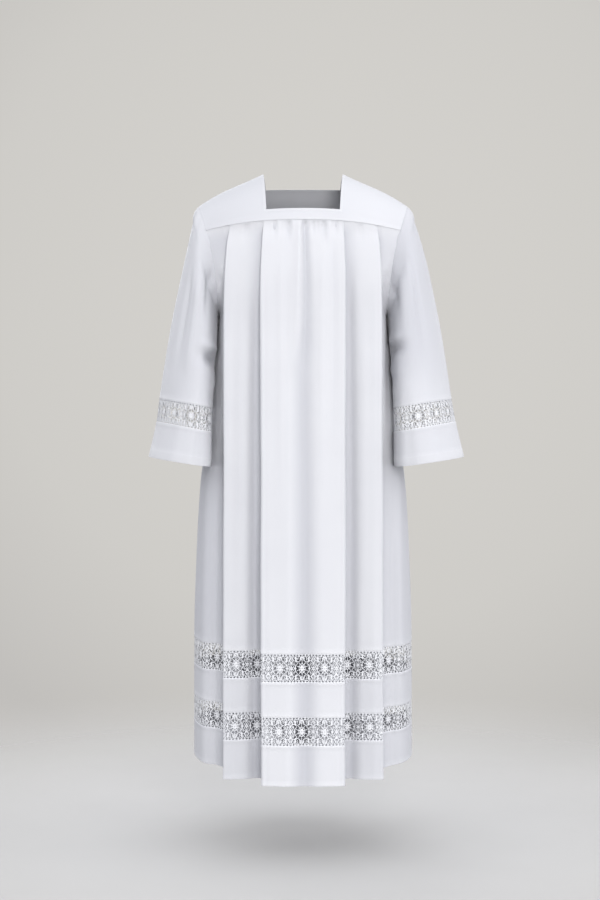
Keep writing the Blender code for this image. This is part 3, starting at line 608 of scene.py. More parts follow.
def lengths(p, axis, closed=False):
    """Running length along an axis of a grid of points, starting at 0."""
    step = np.linalg.norm(np.diff(p, axis=axis), axis=-1)
    zero = np.zeros_like(np.take(step, [0], axis=axis))
    return np.concatenate((zero, np.cumsum(step, axis=axis)), axis=axis)


# ---------------------------------------------------------------- meshes
def vertex_normals(points, faces):
    """Area-weighted normals of a mesh of quads or triangles."""
    a, b, c = points[faces[:, 0]], points[faces[:, 1]], points[faces[:, 2]]
    n = np.cross(b - a, c - a)
    if faces.shape[1] == 4:
        d = points[faces[:, 3]]
        n = n + np.cross(c - a, d - a)
    total = np.zeros_like(points)
    for k in range(faces.shape[1]):
        np.add.at(total, faces[:, k], n)
    return total / np.maximum(np.linalg.norm(total, axis=1, keepdims=True), 1e-12)


def grid_faces(rows, columns, outward, closed=False):
    r = np.arange(rows - 1)[:, None]
    c = np.arange(columns if closed else columns - 1)[None, :]
    a = r * columns + c
    b = r * columns + (c + 1) % columns
    quads = np.stack((a, b, b + columns, a + columns), axis=-1).reshape(-1, 4)
    # going along +u and then down gives a face that looks along du x dv
    return quads if outward > 0 else quads[:, ::-1]


def border_edges(faces):
    """Edges that only one face has, in that face's direction."""
    sides = faces.shape[1]
    edges = np.concatenate([faces[:, [k, (k + 1) % sides]] for k in range(sides)])
    size = int(faces.max()) + 1
    low, high = edges.min(1).astype(np.int64), edges.max(1).astype(np.int64)
    _, inverse, count = np.unique(low * size + high, return_inverse=True, return_counts=True)
    return edges[count[inverse.reshape(-1)] == 1]


def make_mesh(name, points, polygons, uv=None, values=None):
    """A mesh from points and arrays of triangles or quads. uv and values are per point."""
    mesh = bpy.data.meshes.new(name)
    polygons = [p for p in polygons if len(p)]
    loops = np.concatenate([p.reshape(-1) for p in polygons]).astype(np.int32)
    sizes = np.concatenate([np.full(len(p), p.shape[1]) for p in polygons])
    starts = np.concatenate(([0], np.cumsum(sizes)[:-1])).astype(np.int32)
    mesh.vertices.add(len(points))
    mesh.vertices.foreach_set("co", points.astype(np.float32).reshape(-1))
    mesh.loops.add(len(loops))
    mesh.loops.foreach_set("vertex_index", loops)
    mesh.polygons.add(len(sizes))
    mesh.polygons.foreach_set("loop_start", starts)
    mesh.update(calc_edges=True)
    if uv is not None:
        layer = mesh.uv_layers.new(name="cut")
        layer.uv.foreach_set("vector", uv[loops].astype(np.float32).reshape(-1))
    for key, value in (values or {}).items():
        mesh.attributes.new(key, "FLOAT", "POINT").data.foreach_set("value", value.astype(np.float32))
    mesh.validate()
    mesh.shade_smooth()
    mesh.set_sharp_from_angle(angle=math.radians(55))
    return mesh


def thicken(points, normals, faces, out, inside):
    """A closed wall round a sheet: points, polygons, and which sheet point each comes from."""
    n = len(points)
    outer = points + normals * np.broadcast_to(out, n)[:, None]
    inner = points - normals * np.broadcast_to(inside, n)[:, None]
    edges = border_edges(faces)
    rim = np.stack((edges[:, 1], edges[:, 0], edges[:, 0] + n, edges[:, 1] + n), axis=-1)
    source = np.concatenate((np.arange(n), np.arange(n)))
    return np.concatenate((outer, inner)), [faces, faces[:, ::-1] + n, rim], source


def new_piece(name, mesh, material, replaces=()):
    item = bpy.data.objects.new(name, mesh)
    bpy.context.scene.collection.objects.link(item)
    mesh.materials.append(material)
    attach(item, "root")
    if replaces:
        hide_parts(*replaces)
    return item


def edge_extra(distance, width=EDGE, extra=EDGE_EXTRA):
    """How much a turned edge of that width adds to the wall at a distance from the edge."""
    step = extra * (1 - smooth(width - 0.0003, width + 0.0004, distance))
    lip = smooth(-0.0002, 0.0007, distance)
    return step * lip


def edge_distances(length, starts=(0.0,), ends=(0.0,), step=PANEL_STEP, width=EDGE, end_width=EDGE):
    """Places from 0 to length with close ones at the edges, where the wall changes."""
    head = list(starts) + [0.0007, width - 0.0003, width + 0.0004]
    tail = [end_width + 0.0004, end_width - 0.0003, 0.0007] + list(ends)
    low, high = head[-1], length - tail[0]
    count = max(1, int(round((high - low) / step)))
    middle = [lerp(low, high, k / count) for k in range(1, count)]
    return np.array(head + middle + [length - d for d in tail])


# ---------------------------------------------------------------- lace
TILE_L, TILE_H = 49.0, 61.0  # one repeat, in mm
TILE_CELL = 0.5


def disc(s, t, cs, ct, r):
    return r - np.hypot(s - cs, t - ct)


def bar(s, t, s0, t0, s1, t1, w0, w1=None):
    """A straight thread, from half width w0 to w1."""
    w1 = w0 if w1 is None else w1
    ds, dt = s1 - s0, t1 - t0
    u = np.clip(((s - s0) * ds + (t - t0) * dt) / (ds * ds + dt * dt), 0, 1)
    return lerp(w0, w1, u) - np.hypot(s - s0 - u * ds, t - t0 - u * dt)


def leaf(s, t, s0, t0, s1, t1, half, bend=0.0):
    """A pointed leaf from one point to another, bent sideways by bend."""
    ds, dt = s1 - s0, t1 - t0
    length = math.hypot(ds, dt)
    u = ((s - s0) * ds + (t - t0) * dt) / length**2
    v = ((s - s0) * -dt + (t - t0) * ds) / length
    v = v - bend * 4 * u * (1 - u)
    inside = half * np.clip(4 * u * (1 - u), 0, 1) ** 0.75 - np.abs(v)
    past = np.maximum(-u, u - 1) * length
    return np.where(past > 0, -np.hypot(past, v), inside)


def scroll(s, t, cs, ct, r, a0, a1, w0, w1, grow=0.0):
    """A curl: an arc from angle a0 to a1 (degrees), whose radius grows on the way, half widths w0 to w1."""
    best = np.full(np.shape(s), -99.0)
    steps = 14
    for k in range(steps):
        u0, u1 = k / steps, (k + 1) / steps
        b0, b1 = math.radians(lerp(a0, a1, u0)), math.radians(lerp(a0, a1, u1))
        r0, r1 = r + grow * u0, r + grow * u1
        best = np.maximum(
            best,
            bar(s, t, cs + r0 * math.cos(b0), ct + r0 * math.sin(b0), cs + r1 * math.cos(b1), ct + r1 * math.sin(b1), lerp(w0, w1, u0), lerp(w0, w1, u1)),
        )
    return best


def lace_fields(s, t):
    """(solid, motif) of the repeat in mm: above 0 inside. s runs from -TILE_L/2 to TILE_L/2 and repeats."""
    mid, far = TILE_H / 2, TILE_L / 2
    motif = np.full(np.shape(s), -99.0)

    def add(*shapes):
        nonlocal motif
        for shape in shapes:
            motif = np.maximum(motif, shape)

    # everything is mirrored about each medallion; the neighbours' halves reach in over the repeat's ends
    for shift in (-TILE_L, 0.0, TILE_L):
        x = np.abs(s - shift)
        # medallion: a flower with eight petals, a ring round it and leaves that point outwards
        for k in range(8):
            a = math.radians(22.5 + 45 * k)
            if math.cos(a) > -0.5:
                c, d = math.cos(a), math.sin(a) * 1.25
                add(leaf(x, t, 0.6 * c, mid + 0.6 * d, 6.9 * c, mid + 6.9 * d, 1.75))
        add(np.minimum(disc(x, t, 0, mid, 2.4), -disc(x, t, 0, mid, 0.85)))
        ring = np.hypot(x / 7.0, (t - mid) / 9.4)
        add(0.75 - np.abs(ring - 1) * 7.6)
        for a in (18, 54, 90, -18, -54, -90):
            c, d = math.cos(math.radians(a)), math.sin(math.radians(a))
            add(leaf(x, t, 6.8 * c, mid + 9.2 * d, 13.4 * c, mid + 15.8 * d, 1.0))
        # scrolls above and below, with leaves that grow out of them
        for up in (1, -1):
            y = mid + (t - mid) * up
            add(scroll(x, y, 9.4, mid + 17.8, 4.9, -175, 120, 0.85, 0.7, grow=-1.6))
            add(disc(x, y, 9.7, mid + 17.8, 1.3), bar(x, y, 9.7, mid + 17.8, 9.4, mid + 21.2, 0.5))
            add(leaf(x, y, 4.6, mid + 16.6, 0.0, mid + 24.2, 1.5, bend=-1.0), bar(x, y, 0.0, mid + 15.0, 0.0, mid + 24.0, 0.45))
            add(scroll(x, y, 18.3, mid + 11.6, 4.5, 170, -120, 0.85, 0.7, grow=-1.5))
            add(disc(x, y, 18.2, mid + 11.6, 1.2), bar(x, y, 18.2, mid + 11.6, 18.4, mid + 8.6, 0.5))
            add(leaf(x, y, 14.4, mid + 15.0, 16.6, mid + 24.4, 1.55, bend=0.9))
            add(leaf(x, y, 14.6, mid + 8.0, 14.4, mid + 2.4, 1.2, bend=0.6))
            add(leaf(x, y, 21.0, mid + 16.6, far, mid + 22.8, 1.5, bend=0.6))
        # between the medallions: a rosette on a stem, with a bud above and a drop below
        for k in range(6):
            a = math.radians(30 + 60 * k)
            if math.cos(a) < 0.1:
                add(leaf(x, t, far + 0.9 * math.cos(a), mid + 0.9 * math.sin(a), far + 5.6 * math.cos(a), mid + 5.6 * math.sin(a), 1.35))
        add(np.minimum(disc(x, t, far, mid, 1.9), -disc(x, t, far, mid, 0.75)))
        add(leaf(x, t, far, mid + 6.6, far, mid + 14.4, 1.5), leaf(x, t, far, mid - 6.6, far, mid - 15.4, 1.7))
        add(bar(x, t, far - 5.2, mid, 13.0, mid, 0.55))
    # loops that join the motifs: fine bars run both ways wherever the motifs leave room
    x = np.abs(s)
    bars = np.full(np.shape(s), -99.0)
    for slope in (1.0, -1.0):
        pitch = TILE_L / 11
        v = (x + slope * (t - mid) * 0.62) / pitch
        bars = np.maximum(bars, 0.40 - np.abs(v - np.round(v)) * pitch * 0.85)
    # no bars in the open ring of the medallion: its leaves carry it
    clear = np.hypot(x / 12.7, (t - mid) / 15.1) < 1.0
    for up in (1, -1):
        clear |= np.hypot(x - 9.4, t - mid - 17.8 * up) < 3.9
        clear |= np.hypot(x - 18.3, t - mid - 11.6 * up) < 3.7
    bars = np.where(clear, -99.0, bars)
    # where the room is wide, net with small holes fills it
    away = -motif
    pitch = TILE_L / 14
    row = pitch * math.sqrt(3) / 2
    net = np.full(np.shape(s), 99.0)
    for shift in (0.0, 0.5):
        k = np.round((t - mid) / row / 2 - shift) * 2 + 2 * shift
        cs = (np.round(s / pitch - shift) + shift) * pitch
        net = np.minimum(net, np.hypot(s - cs, t - mid - k * row))
    net = np.minimum(net - 1.12, away - 1.75)
    net = np.where(clear, -99.0, net)
    # borders: a band, mostly behind the cloth, with a row of long eyelets close to it
    edge = np.minimum(t, TILE_H - t)
    pitch = TILE_L / 7
    away = (s / pitch - 0.5 - np.round(s / pitch - 0.5)) * pitch
    eyelets = np.hypot(away / 2.5, (edge - 3.7) / 1.2) - 1
    border = np.where(edge < 5.4, np.minimum(eyelets, 5.4 - edge), -99.0)
    field = np.where(edge < 4.9, -99.0, np.maximum(np.maximum(motif, bars), net) - 0.13)
    return np.maximum(field, border), np.where(edge < 2.4, -1.0, motif)


def drop_small(solid, least):
    """Fills holes of the field that cover fewer than least places of the grid."""
    open_at = solid < 0
    rows, columns = solid.shape
    seen = np.zeros_like(open_at)
    for r0, c0 in zip(*np.nonzero(open_at)):
        if seen[r0, c0]:
            continue
        stack, group = [(r0, c0)], []
        seen[r0, c0] = True
        while stack:
            r, c = stack.pop()
            group.append((r, c))
            for dr, dc in ((1, 0), (-1, 0), (0, 1), (0, -1)):
                rr, cc = r + dr, c + dc
                # the first and last column are the same places
                if cc < 0:
                    cc = columns - 2
                elif cc >= columns:
                    cc = 1
                if 0 <= rr < rows and open_at[rr, cc] and not seen[rr, cc]:
                    seen[rr, cc] = True
                    stack.append((rr, cc))
                    twin = {0: columns - 1, columns - 1: 0}.get(cc)
                    if twin is not None and not seen[rr, twin]:
                        seen[rr, twin] = True
                        stack.append((rr, twin))
        if len(group) < least:
            for r, c in group:
                solid[r, c] = 0.25
    solid[:, -1] = solid[:, 0]
    return solid


def outlines(field, cell, low_s):
    """Lines where the field is 0, as lists of (s, t): closed ones, and ones that end at the sides."""
    rows, columns = field.shape
    links = {}

    def cross(r0, c0, r1, c1):
        a, b = field[r0, c0], field[r1, c1]
        u = min(max(a / (a - b), 0.06), 0.94)
        return (round(low_s + (c0 + u * (c1 - c0)) * cell, 4), round((r0 + u * (r1 - r0)) * cell, 4))

    for r in range(rows - 1):
        for c in range(columns - 1):
            inside = [field[r, c] > 0, field[r, c + 1] > 0, field[r + 1, c + 1] > 0, field[r + 1, c] > 0]
            if all(inside) or not any(inside):
                continue
            sides = ((r, c, r, c + 1), (r, c + 1, r + 1, c + 1), (r + 1, c, r + 1, c + 1), (r, c, r + 1, c))
            at = [cross(*side) if inside[k] != inside[(k + 1) % 4] else None for k, side in enumerate(sides)]
            found = [p for p in at if p]
            pairs = [(found[0], found[1])]
            if len(found) == 4:
                middle = field[r : r + 2, c : c + 2].mean() > 0
                pairs = [(at[0], at[1]), (at[2], at[3])] if middle == inside[0] else [(at[0], at[3]), (at[1], at[2])]
            for p, q in pairs:
                if p != q:
                    links.setdefault(p, []).append(q)
                    links.setdefault(q, []).append(p)
    lines = []
    used = set()
    ends = sorted(p for p, q in links.items() if len(q) == 1)
    for start in ends + sorted(links):
        if start in used:
            continue
        line = [start]
        used.add(start)
        while True:
            nexts = [q for q in links[line[-1]] if q not in used]
            if not nexts:
                break
            line.append(nexts[0])
            used.add(nexts[0])
        closed = len(links[start]) == 2
        if len(line) > 2 or not closed:
            lines.append((np.array(line), closed))
    return lines


def thinned(line, tolerance):
    """Douglas-Peucker on an open line."""
    keep = np.zeros(len(line), bool)
    keep[0] = keep[-1] = True
    stack = [(0, len(line) - 1)]
    while stack:
        a, b = stack.pop()
        if b - a < 2:
            continue
        p, q = line[a], line[b]
        d = q - p
        size = math.hypot(*d)
        inner = line[a + 1 : b] - p
        away = np.abs(inner[:, 0] * d[1] - inner[:, 1] * d[0]) / size if size > 1e-9 else np.hypot(inner[:, 0], inner[:, 1])
        k = int(np.argmax(away))
        if away[k] > tolerance:
            keep[a + 1 + k] = True
            stack += [(a, a + 1 + k), (a + 1 + k, b)]
    return line[keep]


def lace_tile(tolerance=0.26):
    """One repeat as a flat mesh: points (mm), triangles, and how much each point belongs to the motif."""
    low = -TILE_L / 2
    columns = int(round(TILE_L / TILE_CELL)) + 1
    rows = int(round(TILE_H / TILE_CELL)) + 1
    s, t = np.meshgrid(low + np.arange(columns) * TILE_CELL, np.arange(rows) * TILE_CELL)
    solid, motif = lace_fields(s, t)
    solid[:, -1] = solid[:, 0]
    solid = drop_small(solid, 8)
    points, index, edges = [], {}, []

    def add(p):
        key = (round(float(p[0]), 4), round(float(p[1]), 4))
        if key not in index:
            index[key] = len(points)
            points.append(key)
        return index[key]

    for line, closed in outlines(solid, TILE_CELL, low):
        if closed:
            far = int(np.argmax(np.hypot(*(line - line[0]).T)))
            line = np.concatenate((thinned(line[: far + 1], tolerance)[:-1], thinned(np.concatenate((line[far:], line[:1])), tolerance)[:-1]))
            if len(line) < 4:
                continue
        else:
            line = thinned(line, tolerance)
        ids = [add(p) for p in line]
        pairs = list(zip(ids[:-1], ids[1:])) + ([(ids[-1], ids[0])] if closed else [])
        edges += pairs
    # the frame of the repeat, with points every few mm so that it can bend
    span = np.linspace(low, -low, 17)
    for level in (0.0, TILE_H):
        ids = [add((v, level)) for v in span]
        edges += list(zip(ids[:-1], ids[1:]))
    for side in (low, -low):
        there = sorted((p[1], i) for p, i in index.items() if abs(p[0] - side) < 1e-6)
        filled = [there[0]]
        for q in there[1:]:
            gap = q[0] - filled[-1][0]
            if gap > 4.5:
                count = int(gap // 3.5)
                start = filled[-1][0]
                filled += [(v, add((side, v))) for v in np.linspace(start, q[0], count + 2)[1:-1]]
            filled.append(q)
        edges += [(a[1], b[1]) for a, b in zip(filled[:-1], filled[1:])]
    # a few points inside the broad solid places
    for r in range(6, rows - 6, 8):
        for c in range(4, columns - 4, 8):
            if solid[r, c] > 1.1:
                add((s[r, c], t[r, c]))
    out = geometry.delaunay_2d_cdt([Vector(p) for p in points], edges, [], 0, 1e-5, True)
    verts = np.array([tuple(v) for v in out[0]])
    faces = np.array([f for f in out[2]], int)
    fixed = {tuple(sorted(e)) for e, source in zip(out[1], out[4]) if source}
    # triangles that no outline parts are one region, and a region is solid or open as a whole
    owner = list(range(len(faces)))

    def root(i):
        while owner[i] != i:
            owner[i] = owner[owner[i]]
            i = owner[i]
        return i

    seen = {}
    for i, f in enumerate(faces):
        for a, b in ((f[0], f[1]), (f[1], f[2]), (f[2], f[0])):
            key = (min(a, b), max(a, b))
            if key in fixed:
                continue
            if key in seen:
                owner[root(i)] = root(seen[key])
            else:
                seen[key] = i
    group = np.array([root(i) for i in range(len(faces))])

    def sample(field, at):
        cc = np.clip((at[:, 0] - low) / TILE_CELL, 0, columns - 1.001)
        rr = np.clip(at[:, 1] / TILE_CELL, 0, rows - 1.001)
        c0, r0 = cc.astype(int), rr.astype(int)
        u, v = cc - c0, rr - r0
        return (
            field[r0, c0] * (1 - u) * (1 - v) + field[r0, c0 + 1] * u * (1 - v) + field[r0 + 1, c0] * (1 - u) * v + field[r0 + 1, c0 + 1] * u * v
        )

    a, b, c = (verts[faces[:, k]] for k in range(3))
    area = ((b[:, 0] - a[:, 0]) * (c[:, 1] - a[:, 1]) - (b[:, 1] - a[:, 1]) * (c[:, 0] - a[:, 0])) / 2
    faces = np.where((area < 0)[:, None], faces[:, ::-1], faces)
    vote = sample(solid, (a + b + c) / 3) * np.abs(area)
    total = np.bincount(group, vote, minlength=len(faces))
    faces = faces[(total[group] > 0) & (np.abs(area) > 1e-7)]
    used, faces = np.unique(faces, return_inverse=True)
    verts = verts[used]
    return verts, faces.reshape(-1, 3), sample(motif, verts), float(np.abs(area)[total[group] > 0].sum() / (TILE_L * TILE_H))


def lace_strip(tile, count, closed):
    """Tiles side by side: points as (share of the length, share of the height), triangles, motif share."""
    verts, faces, motif, _ = tile
    points, triangles, share = [], [], []
    for k in range(count):
        place = verts.copy()
        place[:, 0] = (place[:, 0] + TILE_L / 2) / TILE_L + k
        points.append(place)
        triangles.append(faces + k * len(verts))
        share.append(motif)
    points, triangles, share = np.concatenate(points), np.concatenate(triangles), np.concatenate(share)
    keys = np.round(points * (1e4, 1e3)).astype(np.int64)
    if closed:
        keys[:, 0] %= count * 10000
    _, first, inverse = np.unique(keys[:, 0] * 10**7 + keys[:, 1], return_index=True, return_inverse=True)
    triangles = inverse.reshape(-1)[triangles]
    points, share = points[first], share[first]
    return points * (1 / count, 1 / TILE_H), triangles, share


def on_grid(grid, column, row, closed=False):
    """Points of a grid (rows, columns, ...) at fractional columns and rows."""
    rows, columns = grid.shape[:2]
    r0 = np.clip(row.astype(int), 0, rows - 2)
    v = (row - r0)[:, None]
    c0 = np.floor(column).astype(int)
    if closed:
        u = (column - c0)[:, None]
        c0, c1 = c0 % columns, (c0 + 1) % columns
    else:
        c0 = np.clip(c0, 0, columns - 2)
        u = (column - c0)[:, None]
        c1 = c0 + 1
    return grid[r0, c0] * (1 - u) * (1 - v) + grid[r0, c1] * u * (1 - v) + grid[r0 + 1, c0] * (1 - u) * v + grid[r0 + 1, c1] * u * v


def lace_piece(name, tile, surface, normals, count, closed, material, replaces, flip):
    """A strip of pierced lace laid on a grid of points, whose rows run down from its top edge."""
    points, triangles, motif = lace_strip(tile, count, closed)
    middle = surface[len(surface) // 2]
    if closed:
        middle = np.concatenate((middle, middle[:1]))
    along = np.concatenate(([0.0], np.cumsum(np.linalg.norm(np.diff(middle, axis=0), axis=1))))
    column = np.interp(points[:, 0] * along[-1], along, np.arange(len(along)))
    down = 1 - points[:, 1]
    row = down * (len(surface) - 1)
    p = on_grid(surface, column, row, closed)
    n = on_grid(normals, column, row, closed)
    n = n / np.linalg.norm(n, axis=1, keepdims=True)
    height = float(np.linalg.norm(np.diff(surface[:, len(middle) // 2], axis=0), axis=1).sum())
    from_edge = np.minimum(down, 1 - down) * height
    raised = smooth(-0.3, 0.9, motif) * 0.00028
    out = -0.00042 + smooth(0.0010, 0.0032, from_edge) * (0.00034 + raised)
    thick = 0.00026 + raised * 0.6
    faces = triangles if flip else triangles[:, ::-1]
    verts, polygons, source = thicken(p, n, faces, out, thick - out)
    uv = np.stack((points[:, 0] * along[-1], -down * height), axis=1)[source]
    mesh = make_mesh(name, verts, polygons, uv, {"motif": smooth(-0.2, 0.8, motif)[source]})
    item = new_piece(name, mesh, material, replaces)
    return item, float(along[-1]), height


# ---------------------------------------------------------------- materials
def new_material(name):
    material = bpy.data.materials.new(name)
    material.use_nodes = True
    tree = material.node_tree
    return material, tree, tree.nodes["Principled BSDF"]


def add_node(tree, kind, inputs=(), **settings):
    item = tree.nodes.new(kind)
    for key, value in settings.items():
        setattr(item, key, value)
    for key, value in dict(inputs).items():
        if isinstance(value, bpy.types.NodeSocket):
            tree.links.new(value, item.inputs[key])
        else:
            item.inputs[key].default_value = value
    return item


def ramp(tree, source, stops):
    item = add_node(tree, "ShaderNodeValToRGB", {"Fac": source})
    elements = item.color_ramp.elements
    while len(elements) < len(stops):
        elements.new(0.5)
    for element, (place, colour) in zip(elements, stops):
        element.position = place
        element.color = (*colour, 1.0)
    return item.outputs["Color"]


def cloth_material():
    """Smooth white plain-weave cloth of polyester and viscose, about twenty threads to the centimetre each way."""
    material, tree, shader = new_material("white_cloth")
    cut = add_node(tree, "ShaderNodeUVMap", uv_map="cut")
    place = add_node(tree, "ShaderNodeTexCoord")
    split = add_node(tree, "ShaderNodeSeparateXYZ", {"Vector": cut.outputs["UV"]})
    threads = []
    for axis, pitch in (("X", 0.00050), ("Y", 0.00055)):
        turn = add_node(tree, "ShaderNodeMath", {0: split.outputs[axis], 1: 2 * math.pi / pitch}, operation="MULTIPLY")
        threads.append(add_node(tree, "ShaderNodeMath", {0: turn.outputs[0]}, operation="SINE"))
    weave = add_node(tree, "ShaderNodeMath", {0: threads[0].outputs[0], 1: threads[1].outputs[0]}, operation="MULTIPLY")
    slubs = add_node(tree, "ShaderNodeMapping", {"Vector": cut.outputs["UV"], "Scale": (900.0, 60.0, 1.0)})
    slub = add_node(tree, "ShaderNodeTexNoise", {"Vector": slubs.outputs["Vector"], "Scale": 1.0, "Detail": 3.0, "Roughness": 0.6})
    soft = add_node(tree, "ShaderNodeTexNoise", {"Vector": place.outputs["Object"], "Scale": 9.0, "Detail": 3.0, "Roughness": 0.5})
    ply = add_node(tree, "ShaderNodeAttribute", attribute_name="ply")
    # colour: barely uneven, a little whiter where the cloth is doubled
    uneven = ramp(tree, soft.outputs["Fac"], ((0.30, (0.752, 0.755, 0.774)), (0.70, (0.770, 0.773, 0.790))))
    whiter = add_node(tree, "ShaderNodeMix", {"Factor": ply.outputs["Fac"], "A": uneven, "B": (0.776, 0.779, 0.794, 1.0)}, data_type="RGBA")
    # painted shade: the cloth colour goes greyer deep in the folds and in other places set to lie in shade
    painted_shade = add_node(tree, "ShaderNodeAttribute", attribute_name="painted_shade")
    deep = add_node(tree, "ShaderNodeMix", {"Factor": painted_shade.outputs["Fac"], "A": whiter.outputs["Result"], "B": (0.602, 0.607, 0.638, 1.0)}, data_type="RGBA")
    tree.links.new(deep.outputs["Result"], shader.inputs["Base Color"])
    rough = add_node(tree, "ShaderNodeMapRange", {"Value": slub.outputs["Fac"], "From Min": 0.3, "From Max": 0.7, "To Min": 0.60, "To Max": 0.72})
    tree.links.new(rough.outputs["Result"], shader.inputs["Roughness"])
    shader.inputs["Sheen Weight"].default_value = 0.12
    shader.inputs["Sheen Roughness"].default_value = 0.45
    shader.inputs["Specular IOR Level"].default_value = 0.30
    # crumple, slubs and threads, from large to small
    crumple = add_node(tree, "ShaderNodeTexNoise", {"Vector": place.outputs["Object"], "Scale": 24.0, "Detail": 2.0, "Roughness": 0.45})
    first = add_node(tree, "ShaderNodeBump", {"Height": crumple.outputs["Fac"], "Strength": 0.35, "Distance": 0.0011})
    second = add_node(tree, "ShaderNodeBump", {"Height": slub.outputs["Fac"], "Normal": first.outputs["Normal"], "Strength": 0.25, "Distance": 0.00012})
    third = add_node(tree, "ShaderNodeBump", {"Height": weave.outputs[0], "Normal": second.outputs["Normal"], "Strength": 0.30, "Distance": 0.00006})
    tree.links.new(third.outputs["Normal"], shader.inputs["Normal"])
    return material


def lace_material():
    """White machine-made lace: threads packed in the motifs, looser and a little greyer in the net."""
    material, tree, shader = new_material("white_lace")
    cut = add_node(tree, "ShaderNodeUVMap", uv_map="cut")
    motif = add_node(tree, "ShaderNodeAttribute", attribute_name="motif")
    strands = add_node(tree, "ShaderNodeTexNoise", {"Vector": cut.outputs["UV"], "Scale": 900.0, "Detail": 2.0, "Roughness": 0.6})
    cords = add_node(tree, "ShaderNodeTexVoronoi", {"Vector": cut.outputs["UV"], "Scale": 1100.0}, feature="DISTANCE_TO_EDGE")
    net = ramp(tree, strands.outputs["Fac"], ((0.35, (0.800, 0.806, 0.826)), (0.65, (0.855, 0.860, 0.876))))
    full = ramp(tree, strands.outputs["Fac"], ((0.35, (0.875, 0.880, 0.893)), (0.65, (0.905, 0.908, 0.918))))
    both = add_node(tree, "ShaderNodeMix", {"Factor": motif.outputs["Fac"], "A": net, "B": full}, data_type="RGBA")
    tree.links.new(both.outputs["Result"], shader.inputs["Base Color"])
    rough = add_node(tree, "ShaderNodeMapRange", {"Value": strands.outputs["Fac"], "From Min": 0.3, "From Max": 0.7, "To Min": 0.62, "To Max": 0.80})
    tree.links.new(rough.outputs["Result"], shader.inputs["Roughness"])
    shader.inputs["Sheen Weight"].default_value = 0.10
    shader.inputs["Specular IOR Level"].default_value = 0.25
    first = add_node(tree, "ShaderNodeBump", {"Height": cords.outputs["Distance"], "Strength": 0.6, "Distance": 0.00025})
    second = add_node(tree, "ShaderNodeBump", {"Height": strands.outputs["Fac"], "Normal": first.outputs["Normal"], "Strength": 0.4, "Distance": 0.0002})
    tree.links.new(second.outputs["Normal"], shader.inputs["Normal"])
    return material


def thread_material():
    """Smooth white sewing thread, with the twist of its plies."""
    material, tree, shader = new_material("white_thread")
    place = add_node(tree, "ShaderNodeTexCoord")
    twist = add_node(tree, "ShaderNodeTexNoise", {"Vector": place.outputs["Object"], "Scale": 2600.0, "Detail": 1.0})
    colour = ramp(tree, twist.outputs["Fac"], ((0.35, (0.765, 0.772, 0.796)), (0.65, (0.830, 0.836, 0.856))))
    tree.links.new(colour, shader.inputs["Base Color"])
    rough = add_node(tree, "ShaderNodeMapRange", {"Value": twist.outputs["Fac"], "From Min": 0.3, "From Max": 0.7, "To Min": 0.40, "To Max": 0.60})
    tree.links.new(rough.outputs["Result"], shader.inputs["Roughness"])
    shader.inputs["Sheen Weight"].default_value = 0.05
    bump = add_node(tree, "ShaderNodeBump", {"Height": twist.outputs["Fac"], "Strength": 0.4, "Distance": 0.0001})
    tree.links.new(bump.outputs["Normal"], shader.inputs["Normal"])
    return material


CLOTH = cloth_material()
LACE = lace_material()
THREAD = thread_material()


# ---------------------------------------------------------------- pieces
def body_painted_shade(front, p, relief):
    """Painted shade, 0 to 1: how much greyer the body's cloth colour is made where a place lies in a fold, in a trough,
    close beside a fold's edge or in the shade of other panels.
    """
    width = np.abs(p[..., 0])
    # painted shade in the crease troughs
    painted_shade = np.clip(-relief / 0.011, 0, 1) * 0.68
    middle = len(FULL_STRETCH) // 2
    # painted shade on the panels just outside each fold's edge, as if shaded by that edge
    for edge_stretch, behind in ((0, 4), (4, 8)):
        for side in (-1, 1):
            last = np.nonzero((FULL_STRETCH == edge_stretch) & (FULL_SIDE == side))[0]
            edge = last[np.argmax(np.abs(last - middle))]
            there = (FULL_STRETCH == behind) & (FULL_SIDE == side)
            away = np.maximum(width[:, there] - width[:, edge : edge + 1], 0)
            painted_shade[:, there] = np.maximum(painted_shade[:, there], 0.8 * np.exp(-((away / 0.019) ** 1.3)))
    # painted shade: the panels beside the middle one and the outer ones lie further back, and their colour is greyed as
    # if in its shade, more so towards the hem
    second, outer = FULL_STRETCH == 4, FULL_STRETCH == 8
    low = 1 - smooth(-1.130, -0.960, p[..., 2])
    painted_shade[:, second] = np.maximum(painted_shade[:, second], 0.05 + 0.22 * low[:, second])
    painted_shade[:, outer] = np.maximum(painted_shade[:, outer], 0.22 + 0.10 * low[:, outer])
    # painted shade: in front the outer panels sink behind the armhole seams, and their colour is greyed as if they hang
    # in shade, more so at x below 0 and less towards the hem;
    # behind the sleeves this painted shade is taken off, as the sleeves' own shade is enough
    if front:
        shade = (0.525 - 0.125 * np.sign(p[..., 0])) * smooth(-0.085, -0.115, p[..., 2])
        painted_shade[:, outer] = np.maximum(painted_shade[:, outer], (shade * (1 - 0.35 * low))[:, outer])
        behind_sleeve = smooth(-0.150, -0.240, p[..., 2]) * (1 - smooth(-0.590, -0.650, p[..., 2]))
        painted_shade[:, outer] *= 1 - behind_sleeve[:, outer]
    # painted shade on the fold turns, and full painted shade on the underlays hidden behind the folds
    painted_shade[:, np.isin(FULL_STRETCH, (1, 5))] = np.maximum(painted_shade[:, np.isin(FULL_STRETCH, (1, 5))], 0.25)
    painted_shade[:, np.isin(FULL_STRETCH, (2, 3, 6, 7))] = 1.0
    return painted_shade


